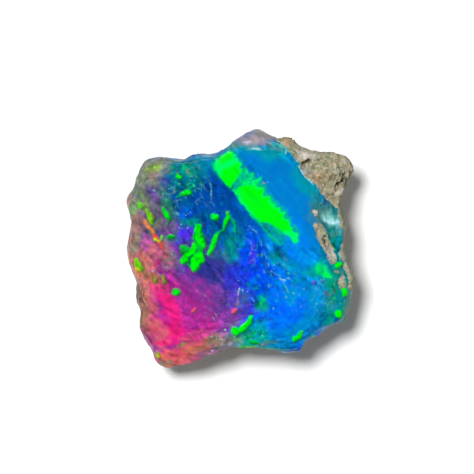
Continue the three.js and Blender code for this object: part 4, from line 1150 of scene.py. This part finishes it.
flash_colour = np.where(steep[:, None], band_colour * 0.4 + opal_colour * 0.5, flash_colour)
glint_depth = glint_depth - 2 * soft_step(wall, 0.7, 1)
print("clay covers", (skin.mean() * 100).round(), "% of the skin")

# %% [markdown]
# ## Colour of the rock
#
# The host rock is a sandstone of weathered volcanic ash. Its grains differ one by one, from
# pinkish grey to olive tan and rust, and green opal has seeped between some of them. The number
# that each grain got when the relief was made picks its colour now. Pits, crevices and the gaps
# between grains get painted shade, and rusty stain spreads over the sides.

# %% Colour the grains
ROCK_CLOUDS = [  # colour, x, y, radius, strength
    ("rust", 4.6, 10.7, 1, 1), ("olive_sand", 5.4, 9.9, 0.9, 0.8), ("pale_break", 6.8, 9.6, 1.2, 1),
    ("olive_sand", 7.4, 8.4, 0.9, 0.7), ("olive_sand", 8.3, 7.6, 1.2, 0.8), ("tan", 9.2, 8, 1.3, 0.7),
    ("sand", 9.9, 8.6, 1.2, 0.9), ("rust", 7.8, 6.9, 0.9, 1), ("ochre", 8, 6.6, 0.5, 0.6),
    ("dark_brown", 11.2, 7.2, 0.6, 0.5), ("dark_brown", 10.4, 5.6, 1, 0.6),
    ("dark_brown", 10.2, 6.8, 0.6, 0.5), ("pale_break", 10, 5.7, 0.5, 0.8), ("pearl", 6.5, 7.9, 0.5, 0.7),
    ("olive_sand", 8.9, 5.9, 0.8, 0.8), ("pale_break", 7.35, 3.55, 0.4, 0.8), ("sand", 7.8, 1.6, 1, 0.7),
    ("pink_sand", 8.5, -0.7, 0.9, 0.8), ("olive_sand", 10, 3.2, 0.9, 0.9),
    ("dark_teal", 10.2, -1, 0.9, 0.5), ("pink_sand", 10, -2.8, 0.8, 0.7),
]
PICKED_GRAINS = [  # colour, the grain number from which a grain takes it
    ("pink_sand", 0.74), ("olive", 0.84), ("sand", 0.9), ("crack_brown", 0.95), ("rust", 0.97),
]
STAIN_SHARE = 0.6


def spot_share(xy, x, y, radius, inner, outer):
    """1 in the middle of a round spot and 0 outside it; inner and outer are shares of the radius."""
    return 1 - soft_step(np.linalg.norm(xy - (x, y), axis=1) / radius, inner, outer)


rock_colour = 0.5 * (ground("tan") + ground("olive_sand"))
for name, x, y, radius, strength in ROCK_CLOUDS:
    share = strength * spot_share(places[:, :2] + wander[:, :2] * 2, x, y, radius, 0.4, 1.3)
    wash(rock_colour, name, share * facing_up)
wash(rock_colour, "olive_sand", (1 - facing_up) * soft_step(rough_noise(places, 2.5, 81), -0.1, 0.3))
for name, low in PICKED_GRAINS:
    picked = soft_step(grain_number, low, low + 0.02) * (1 - smooth_rock)
    picked = picked * (1 - soft_step(grain_gap, 0.3, 0.7))
    wash(rock_colour, name, picked * 0.5)
# painted shade: darker in the gaps between grains, in pits and in crevices
rock_shade = 1 - 0.3 * soft_step(grain_gap, 0.45, 0.85) * grains_show * (1 - smooth_rock)
rock_shade *= (1 - 0.35 * pitted) * (1 - 0.85 * creviced)
stain = soft_step(rough_noise(places, 2.6, 85), 0.0, 0.5) * (1 - facing_up)
wash(rock_colour, "rust", stain * STAIN_SHARE, brightness=0.7)
print("average colour of the rock", rock_colour[rock > 0.5].mean(axis=0).round(2))

# %% Let green opal seep in
SEEPS = [  # x, y, radius
    (7.5, 8.0, 0.24), (8.5, 9.1, 0.2), (8.9, 9.0, 0.22), (8.6, 7.6, 0.16), (8.2, 8.4, 0.2),
    (7.7, 8.9, 0.16), (9.9, -3.7, 0.2), (9.6, -0.6, 0.2), (7.0, 7.9, 0.12),
]
SEEP_SHARE = 0.5
BORDER_SHARE = 0.6
BORDER_FADE = 0.3  # mm into the rock over which the tint along its border fades

seep = soft_step(rough_noise(places, 0.55, 82), 0.32, 0.42) * 0.7
for x, y, radius in SEEPS:
    seep = np.maximum(seep, facing_up * spot_share(flash_xy, x, y, radius, 0.6, 1.0))
wash(rock_colour, "jade", seep * SEEP_SHARE, brightness=0.6)
border = np.exp(-np.maximum(rock_depth, 0) / BORDER_FADE)
border = border * soft_step(rough_noise(places, 0.7, 83), -0.3, 0.3)
wash(rock_colour, "misty_teal", border * BORDER_SHARE)
print("seeps cover", (seep[rock > 0.5] > 0.5).mean().round(3), "of the rock")

# %% [markdown]
# ## Sparkle, and drops over the rock
#
# Tiny pale chips of light lie thick in some places and are missing in others, so one number for
# each point says how thickly. The same places get a few pale strands. The drops on the
# right-hand edge lie over the rock, so the rock is cut away under them, or they would be hidden.

# %% Sparkle and drops
SPARKLY = [  # where the chips lie thickest: x, y, radius, strength
    (-5.8, 6.4, 3.2, 0.5), (-6.6, 2.8, 2.2, 0.6), (-2.2, 3.2, 3.0, 0.22), (1.6, 0.2, 2.4, 0.6),
    (3.4, -2.6, 2.6, 0.55), (-2.4, -5.6, 2.2, 0.2), (0.6, -4.0, 1.6, 0.6), (1.4, -8.9, 1.6, 0.6),
    (8.4, -4.6, 2.4, 0.5), (-8.6, -2.0, 2.0, 0.35), (-1.6, -9.2, 1.8, 0.9), (5.0, -5.0, 2.2, 0.35),
]
LEAST_SPARKLE = 0.05
STRAND_SHARE = 0.5

sparkle = LEAST_SPARKLE * busy
for x, y, radius, strength in SPARKLY:
    sparkle = np.maximum(sparkle, strength * spot_share(flash_xy, x, y, radius, 0.4, 1.1))
pale_strand = soft_step(strands(places, size=0.26, reach=0.35, salt=121), 1.1, 2.1)
pale_strand = sparkle * pale_strand * STRAND_SHARE
wash(opal_colour, "pale_teal", pale_strand)
wash(thread_colour, "cyan_white", pale_strand)
in_drop = deepest(in_stroke, flash_xy, RIGHT_DROPS)
rock_depth = np.where(in_drop > -0.05, np.minimum(rock_depth, -in_drop), rock_depth)
print("sparkle on average", sparkle.mean().round(2))

# %% [markdown]
# ## Keep the paint on the points
#
# A material can read values that are stored on the points of a mesh. Colours go there as
# colours, and depths and shares as plain numbers. The stone then goes back from millimetres to
# metres, which is what the frame works in.

# %% Keep the paint
LAYERS = {
    "opal_colour": opal_colour, "thread_colour": thread_colour, "rock_colour": rock_colour,
    "flash_colour": flash_colour, "glint_colour": glint_colour, "flash_depth": flash_depth,
    "glint_depth": glint_depth, "under_depth": under_depth, "rock_depth": rock_depth,
    "rock_shade": rock_shade, "sparkle": sparkle, "busy": busy,
}


def keep(name, values):
    """Stores one number or one colour for each point."""
    if values.ndim == 1:
        layer = stone.data.attributes.new(name, "FLOAT", "POINT")
        layer.data.foreach_set("value", values.astype(np.float32))
    else:
        layer = stone.data.attributes.new(name, "FLOAT_COLOR", "POINT")
        rgba = np.concatenate([values, np.ones((len(values), 1))], axis=1)
        layer.data.foreach_set("color", rgba.astype(np.float32).ravel())


for name, values in LAYERS.items():
    keep(name, values)
print([layer.name for layer in stone.data.attributes if not layer.name.startswith(".")])

# %% Back to metres
stone.data.transform(Matrix.Scale(MM, 4))
stone.data.polygons.foreach_set("use_smooth", [True] * len(stone.data.polygons))
stone.data.update()
print("stone is", [round(side * 1000, 2) for side in stone.dimensions], "mm")

# %% [markdown]
# ## Effects for the material
#
# Three effects come back several times, so each is a node group, like a small tool with named
# dials. One turns a distance into a crisp mask with a slightly wandering edge. One scatters
# flecks, each in a cell of its own, of which only some are filled. One draws noise out into
# wisps that all run the same way.

# %% Helpers for nodes
def new_group(name, inputs, outputs):
    """An empty shader group. Inputs are (kind, name, value), outputs are (kind, name)."""
    tree = bpy.data.node_groups.new(name, "ShaderNodeTree")
    for kind, label, value in inputs:
        socket = tree.interface.new_socket(label, in_out="INPUT", socket_type="NodeSocket" + kind)
        socket.default_value = value
    for kind, label in outputs:
        tree.interface.new_socket(label, in_out="OUTPUT", socket_type="NodeSocket" + kind)
    return tree, tree.nodes.new("NodeGroupInput").outputs, tree.nodes.new("NodeGroupOutput").inputs


def feed(tree, value, socket):
    """Gives a socket its value, or links the output that it comes from."""
    if isinstance(value, bpy.types.NodeSocket):
        tree.links.new(value, socket)
    else:
        socket.default_value = value


def node(tree, kind, settings=None, **sockets):
    """A new node. Sockets go by name, with _ for a space, or by place as i0, i1 and so on."""
    made = tree.nodes.new("ShaderNode" + kind)
    for key, value in (settings or {}).items():
        setattr(made, key, value)
    for label, value in sockets.items():
        by_place = label[1:].isdigit()
        feed(tree, value, made.inputs[int(label[1:]) if by_place else label.replace("_", " ")])
    return made


def maths(tree, operation, a, b, c=1.0):
    """One sum done by a Math node; gives its output."""
    return node(tree, "Math", {"operation": operation}, i0=a, i1=b, i2=c).outputs[0]


def soft_mask(tree, value, low, high):
    """The soft step of the lesson's start, done by a Map Range node; gives its output."""
    settings = {"interpolation_type": "SMOOTHSTEP"}
    return node(tree, "MapRange", settings, Value=value, From_Min=low, From_Max=high).outputs["Result"]


print("node helpers ready")


# %% Crisp edges
def crisp_edge():
    """Group: a distance in mm, made into a mask whose edge wanders a little."""
    tree, dials, results = new_group(
        "crisp_edge",
        [("Float", "Depth", 0), ("Float", "Grain", 3000), ("Float", "Wander", 0.1),
         ("Float", "Softness", 0.03)],
        [("Float", "Mask")],
    )
    place = node(tree, "TexCoord").outputs["Object"]
    cloud = node(tree, "TexNoise", Vector=place, Scale=dials["Grain"], Detail=3.0).outputs["Fac"]
    shift = maths(tree, "MULTIPLY", maths(tree, "SUBTRACT", cloud, 0.5), dials["Wander"])
    depth = maths(tree, "ADD", dials["Depth"], shift)
    low = maths(tree, "MULTIPLY", dials["Softness"], -1.0)
    tree.links.new(soft_mask(tree, depth, low, dials["Softness"]), results["Mask"])
    return tree


EDGE = crisp_edge()
print("group:", EDGE.name)


# %% Flecks
def flecks():
    """Group: a mask of small flecks, and a number that differs from fleck to fleck."""
    tree, dials, results = new_group(
        "flecks",
        [("Float", "Size", 3000), ("Float", "Filled", 0.3), ("Float", "Radius", 0.35)],
        [("Float", "Mask"), ("Float", "Number")],
    )
    place = node(tree, "TexCoord").outputs["Object"]
    place = node(tree, "VectorMath", {"operation": "SCALE"}, i0=place, Scale=dials["Size"]).outputs[0]
    frayed = node(tree, "TexNoise", Vector=place, Scale=2.2, Detail=1.0).outputs["Color"]
    place = node(tree, "VectorMath", {"operation": "ADD"}, i0=place, i1=frayed).outputs[0]
    cells = node(tree, "TexVoronoi", Vector=place, Scale=1.0)
    parts = node(tree, "SeparateColor", Color=cells.outputs["Color"])
    filled = maths(tree, "LESS_THAN", parts.outputs["Red"], dials["Filled"])
    radius = maths(tree, "MULTIPLY", dials["Radius"], maths(tree, "ADD", parts.outputs["Green"], 0.4))
    core = maths(tree, "MULTIPLY", radius, 0.6)
    inside = node(tree, "MapRange", Value=cells.outputs["Distance"], From_Min=radius, From_Max=core)
    tree.links.new(maths(tree, "MULTIPLY", inside.outputs["Result"], filled), results["Mask"])
    tree.links.new(parts.outputs["Blue"], results["Number"])
    return tree


FLECKS = flecks()
print("group:", FLECKS.name)


# %% Wisps
def wisps():
    """Group: streaks of noise, drawn out in one direction across the stone."""
    tree, dials, results = new_group(
        "wisps",
        [("Float", "Turn", 0), ("Float", "Size", 2000), ("Float", "Stretch", 0.3), ("Float", "From", 0.45),
         ("Float", "To", 0.65)],
        [("Float", "Mask")],
    )
    place = node(tree, "TexCoord").outputs["Object"]
    turned = node(tree, "VectorRotate", {"rotation_type": "Z_AXIS"}, Vector=place, Angle=dials["Turn"])
    parts = node(tree, "SeparateXYZ", Vector=turned.outputs[0]).outputs
    length = maths(tree, "MULTIPLY", parts["X"], dials["Stretch"])
    drawn = node(tree, "CombineXYZ", X=length, Y=parts["Y"], Z=parts["Z"]).outputs[0]
    cloud = node(tree, "TexNoise", Vector=drawn, Scale=dials["Size"], Detail=4.0, Roughness=0.6)
    mask = soft_mask(tree, cloud.outputs["Fac"], dials["From"], dials["To"])
    tree.links.new(mask, results["Mask"])
    return tree


WISPS = wisps()
print("groups:", [group.name for group in bpy.data.node_groups])

# %% [markdown]
# ## The opal and its rock
#
# One material covers the stone, because opal and rock have grown together and meet along a
# ragged line. It could be two materials, one for each, but then their border would follow the
# edges of the faces. So each is painted by a function of its own, and a crisp mask chooses
# between them.

# %% Helpers for the material
def attribute(tree, name, output="Fac"):
    """Reads one of the values kept on the points."""
    return node(tree, "Attribute", {"attribute_name": name}).outputs[output]


def ink(name):
    """A named colour, as a colour socket wants it."""
    return (*COLOURS[name], 1)


def glaze(tree, share, under, over, kind="MIX"):
    """One colour laid over another by a share, like a thin glaze."""
    mix = node(tree, "Mix", {"data_type": "RGBA", "blend_type": kind, "clamp_result": False})
    sockets = {socket.identifier: socket for socket in mix.inputs}
    feed(tree, share, sockets["Factor_Float"])
    feed(tree, under, sockets["A_Color"])
    feed(tree, over, sockets["B_Color"])
    return next(socket for socket in mix.outputs if socket.identifier == "Result_Color")


def use(tree, group, **dials):
    """Places a group in a material and turns its dials."""
    placed = node(tree, "Group", {"node_tree": group})
    for label, value in dials.items():
        feed(tree, value, placed.inputs[label])
    return placed.outputs


def colour_scale(tree, number, first, last, between):
    """A number from 0 to 1 turned into a colour, along a scale with (place, colour) marks."""
    scale = node(tree, "ValToRGB", Fac=number)
    marks = scale.color_ramp.elements
    marks[0].color = ink(first)
    marks[1].color = ink(last)
    for at, name in between:
        marks.new(at).color = ink(name)
    return scale.outputs["Color"]


print("material helpers ready")


# %% [markdown]
# The opal begins with the painted clouds. Wisps of the threading colour and a fine mottling
# break them up. Above these come the painted shadow under the drops, pale chips, darker specks,
# then the flashes, and last the glints on the very surface: painted highlights, scratches and stains.

# %% Paint the opal
def opal_paint(tree, place):
    """The colour of the opal."""
    opal = attribute(tree, "opal_colour", "Color")
    streaks = use(tree, WISPS, Turn=math.radians(57), Size=2600.0, Stretch=0.4, From=0.44, To=0.66)
    streak_share = maths(tree, "MULTIPLY", streaks["Mask"], 0.5)
    opal = glaze(tree, streak_share, opal, attribute(tree, "thread_colour", "Color"))

    mottle = node(tree, "TexNoise", Vector=place, Scale=2300.0, Detail=4.0, Roughness=0.7)
    busy = attribute(tree, "busy")
    opal = glaze(tree, maths(tree, "MULTIPLY", busy, 0.5), opal, mottle.outputs["Color"], "OVERLAY")
    swing = maths(tree, "MULTIPLY", maths(tree, "SUBTRACT", mottle.outputs["Fac"], 0.5), 1.5)
    opal = glaze(tree, 1.0, opal, maths(tree, "MULTIPLY_ADD", swing, busy), "MULTIPLY")

    # the painted shadow under the drops
    under = use(tree, EDGE, Depth=attribute(tree, "under_depth"), Grain=2600.0, Wander=0.34, Softness=0.08)
    opal = glaze(tree, maths(tree, "MULTIPLY", under["Mask"], 0.5), opal, ink("pine"))

    sparkle = attribute(tree, "sparkle")
    chips = use(tree, FLECKS, Size=4600.0, Filled=0.26, Radius=0.42)
    chip_colour = colour_scale(
        tree, chips["Number"], "teal", "cyan_white", [(0.4, "jade"), (0.75, "pale_teal")])
    opal = glaze(tree, maths(tree, "MULTIPLY", chips["Mask"], sparkle), opal, chip_colour)
    specks = use(tree, FLECKS, Size=2300.0, Filled=0.3, Radius=0.36)
    speck_colour = colour_scale(
        tree, specks["Number"], "jade", "misty_teal", [(0.35, "lagoon"), (0.65, "dark_violet")])
    opal = glaze(tree, maths(tree, "MULTIPLY", specks["Mask"], sparkle), opal, speck_colour)

    flash = use(tree, EDGE, Depth=attribute(tree, "flash_depth"), Grain=2600.0, Wander=0.34, Softness=0.12)
    opal = glaze(tree, flash["Mask"], opal, attribute(tree, "flash_colour", "Color"))
    # the glints: painted highlights, scratches and stains
    glint = use(tree, EDGE, Depth=attribute(tree, "glint_depth"), Grain=4000.0, Wander=0.2, Softness=0.06)
    glint_share = maths(tree, "MULTIPLY", glint["Mask"], 0.75)
    return glaze(tree, glint_share, opal, attribute(tree, "glint_colour", "Color"))


print("opal paint ready")


# %% [markdown]
# The rock is the painted rock colour with a finer sand over it: small cells, each in one of the
# colours of the grains, and dark and pale crumbs.

# %% Paint the rock
SAND_COLOURS = [(0.2, "olive_sand"), (0.35, "moss_grey"), (0.55, "sand"), (0.75, "pink_sand"), (0.9, "tan")]


def rock_paint(tree, place):
    """The colour of the host rock."""
    cells = node(tree, "TexVoronoi", Vector=place, Scale=3600.0)
    number = node(tree, "SeparateColor", Color=cells.outputs["Color"]).outputs["Red"]
    sand = colour_scale(tree, number, "olive", "crack_brown", SAND_COLOURS)
    rock = glaze(tree, 0.42, attribute(tree, "rock_colour", "Color"), sand)
    crumbs = node(tree, "TexNoise", Vector=place, Scale=4200.0, Detail=4.0, Roughness=0.7).outputs["Fac"]
    crumbs = node(tree, "MapRange", Value=crumbs, From_Min=0.3, From_Max=0.7, To_Min=0.65, To_Max=1.55)
    # the crumbs are darkened by the painted shade of pits, crevices and grain gaps
    crumbs = maths(tree, "MULTIPLY", crumbs.outputs["Result"], attribute(tree, "rock_shade"))
    return glaze(tree, 1.0, rock, crumbs, "MULTIPLY")


print("rock paint ready")


# %% [markdown]
# The opal is glassy, so it gets a clear coat over its colours, and the rock stays dull. One bump
# adds what is finer than the mesh: a waxy unevenness on the opal and a sandy tooth on the rock.

# %% Put the material together
GLOW = 0.75  # share of light given back by the brightest colours
OPAL_ROUGHNESS = 0.4
ROCK_ROUGHNESS = 0.92
OPAL_COAT = 0.5
COAT_ROUGHNESS = 0.13
SILICA_IOR = 1.45
UNDER_COAT_GLOSS = 0.01  # nearly none, because the coat brings the gloss
BUMP_STRENGTH = 0.35
BUMP_HEIGHT = 0.08 * MM


def opal_in_rock():
    """The stone's material."""
    material = bpy.data.materials.new("opal_in_rock")
    material.use_nodes = True
    tree = material.node_tree
    shader = tree.nodes["Principled BSDF"].inputs
    place = node(tree, "TexCoord").outputs["Object"]

    rocky = use(tree, EDGE, Depth=attribute(tree, "rock_depth"), Grain=2400.0, Wander=0.3, Softness=0.04)
    rocky = rocky["Mask"]
    colour = glaze(tree, rocky, opal_paint(tree, place), rock_paint(tree, place))
    colour = glaze(tree, 1.0, colour, (GLOW, GLOW, GLOW, 1), "MULTIPLY")
    tree.links.new(colour, shader["Base Color"])

    rough = node(tree, "MapRange", Value=rocky, To_Min=OPAL_ROUGHNESS, To_Max=ROCK_ROUGHNESS)
    coat = node(tree, "MapRange", Value=rocky, To_Min=OPAL_COAT, To_Max=0.0)
    tree.links.new(rough.outputs["Result"], shader["Roughness"])
    tree.links.new(coat.outputs["Result"], shader["Coat Weight"])
    shader["Coat Roughness"].default_value = COAT_ROUGHNESS
    shader["Specular IOR Level"].default_value = UNDER_COAT_GLOSS
    shader["IOR"].default_value = SILICA_IOR

    waxy = node(tree, "TexNoise", Vector=place, Scale=900.0, Detail=4.0).outputs["Fac"]
    waxy = maths(tree, "MULTIPLY", waxy, 0.25)
    sandy = node(tree, "TexNoise", Vector=place, Scale=5200.0, Detail=3.0, Roughness=0.7).outputs["Fac"]
    tooth = node(tree, "Mix", {"data_type": "FLOAT"}, i0=rocky, i2=waxy, i3=sandy).outputs[0]
    bump = node(tree, "Bump", Height=tooth, Strength=BUMP_STRENGTH, Distance=BUMP_HEIGHT)
    tree.links.new(bump.outputs["Normal"], shader["Normal"])
    return material


stone.data.materials.append(opal_in_rock())
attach(stone, "root")
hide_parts(NODE)
print("stone dressed in", stone.data.materials[0].name)

# %% [markdown]
# ## Floor, light and camera
#
# A pale matt floor and one large soft lamp, high and to the upper left, give the stone its
# short soft shadow. A weak lamp from the lower right and a pale sky keep the low sides readable.
# None of these shows in the gloss. Two more lamps show in nothing but the gloss, like windows
# across a room, so that the highlights can be placed without spoiling the shadow.

# %% Lay the floor
FLOOR_SIZE = 6.0  # m
FLOOR_SHADE = 0.8


def floor():
    """A pale matt floor, far wider than the stone."""
    half = FLOOR_SIZE / 2
    corners = [(-half, -half, 0), (half, -half, 0), (half, half, 0), (-half, half, 0)]
    mesh = bpy.data.meshes.new("floor")
    mesh.from_pydata(corners, [], [(0, 1, 2, 3)])
    made = bpy.data.objects.new("floor", mesh)
    bpy.context.scene.collection.objects.link(made)
    material = bpy.data.materials.new("floor_paint")
    material.use_nodes = True
    shader = material.node_tree.nodes["Principled BSDF"].inputs
    shader["Base Color"].default_value = (FLOOR_SHADE, FLOOR_SHADE, FLOOR_SHADE, 1)
    shader["Roughness"].default_value = 1.0
    shader["Specular IOR Level"].default_value = 0.0
    mesh.materials.append(material)


floor()
print("floor laid")


# %% Hang the lamps
def lamp(name, azimuth, elevation, strength, spread, lights=True, glints=True):
    """A lamp that shines from that bearing and height, in degrees; spread softens its shadow.

    It can be kept out of the gloss, or show in the gloss alone."""
    light = bpy.data.lights.new(name, "SUN")
    light.energy = strength
    light.angle = math.radians(spread)
    made = bpy.data.objects.new(name, light)
    a, e = math.radians(azimuth), math.radians(elevation)
    source = Vector((math.cos(a) * math.cos(e), math.sin(a) * math.cos(e), math.sin(e)))
    made.rotation_euler = source.to_track_quat("Z", "Y").to_euler()
    made.visible_diffuse = lights
    made.visible_glossy = glints
    bpy.context.scene.collection.objects.link(made)


lamp("key", 136, 69, 4.05, 18, glints=False)
lamp("fill", -50, 11, 0.9, 40, glints=False)
lamp("window", 122, 38, 0.5, 26, lights=False)
lamp("far_window", -20, 30, 0.2, 26, lights=False)
print("lamps:", [light.name for light in bpy.data.lights])

# %% Light the sky
SKY_FOR_STONE = 0.16  # how strongly the sky lights the stone
SKY_TINT = (0.95, 0.97, 1.0, 1)


def sky():
    """A pale sky: white to look at, and a soft grey light on the stone."""
    world = bpy.data.worlds.new("studio")
    world.use_nodes = True
    tree = world.node_tree
    tree.nodes.clear()
    seen = node(tree, "Background", Color=(1, 1, 1, 1), Strength=1.0)
    lit = node(tree, "Background", Color=SKY_TINT, Strength=SKY_FOR_STONE)
    path = node(tree, "LightPath")
    mix = node(tree, "MixShader", i0=path.outputs["Is Camera Ray"], i1=lit.outputs[0], i2=seen.outputs[0])
    out = tree.nodes.new("ShaderNodeOutputWorld")
    tree.links.new(mix.outputs[0], out.inputs["Surface"])
    bpy.context.scene.world = world
    world.cycles_visibility.glossy = False


sky()
print("sky:", bpy.context.scene.world.name)

# %% Place the camera
EYE = Vector((-0.425, 1.125, 600)) * MM
VIEW_WIDTH = 47.4 * MM  # what the view spans across the top of the stone
STONE_TOP = 6 * MM
SENSOR = 36.0  # mm

lens = bpy.data.cameras.new("from_above")
lens.sensor_width = SENSOR
lens.lens = SENSOR * (EYE.z - STONE_TOP) / VIEW_WIDTH
lens.clip_start = 0.01
lens.clip_end = 20.0
camera = bpy.data.objects.new("camera", lens)
camera.location = EYE
bpy.context.scene.collection.objects.link(camera)
bpy.context.scene.camera = camera
bpy.context.scene.view_settings.view_transform = "Standard"
bpy.context.scene.cycles.use_denoising = True
print("lens", round(lens.lens), "mm")
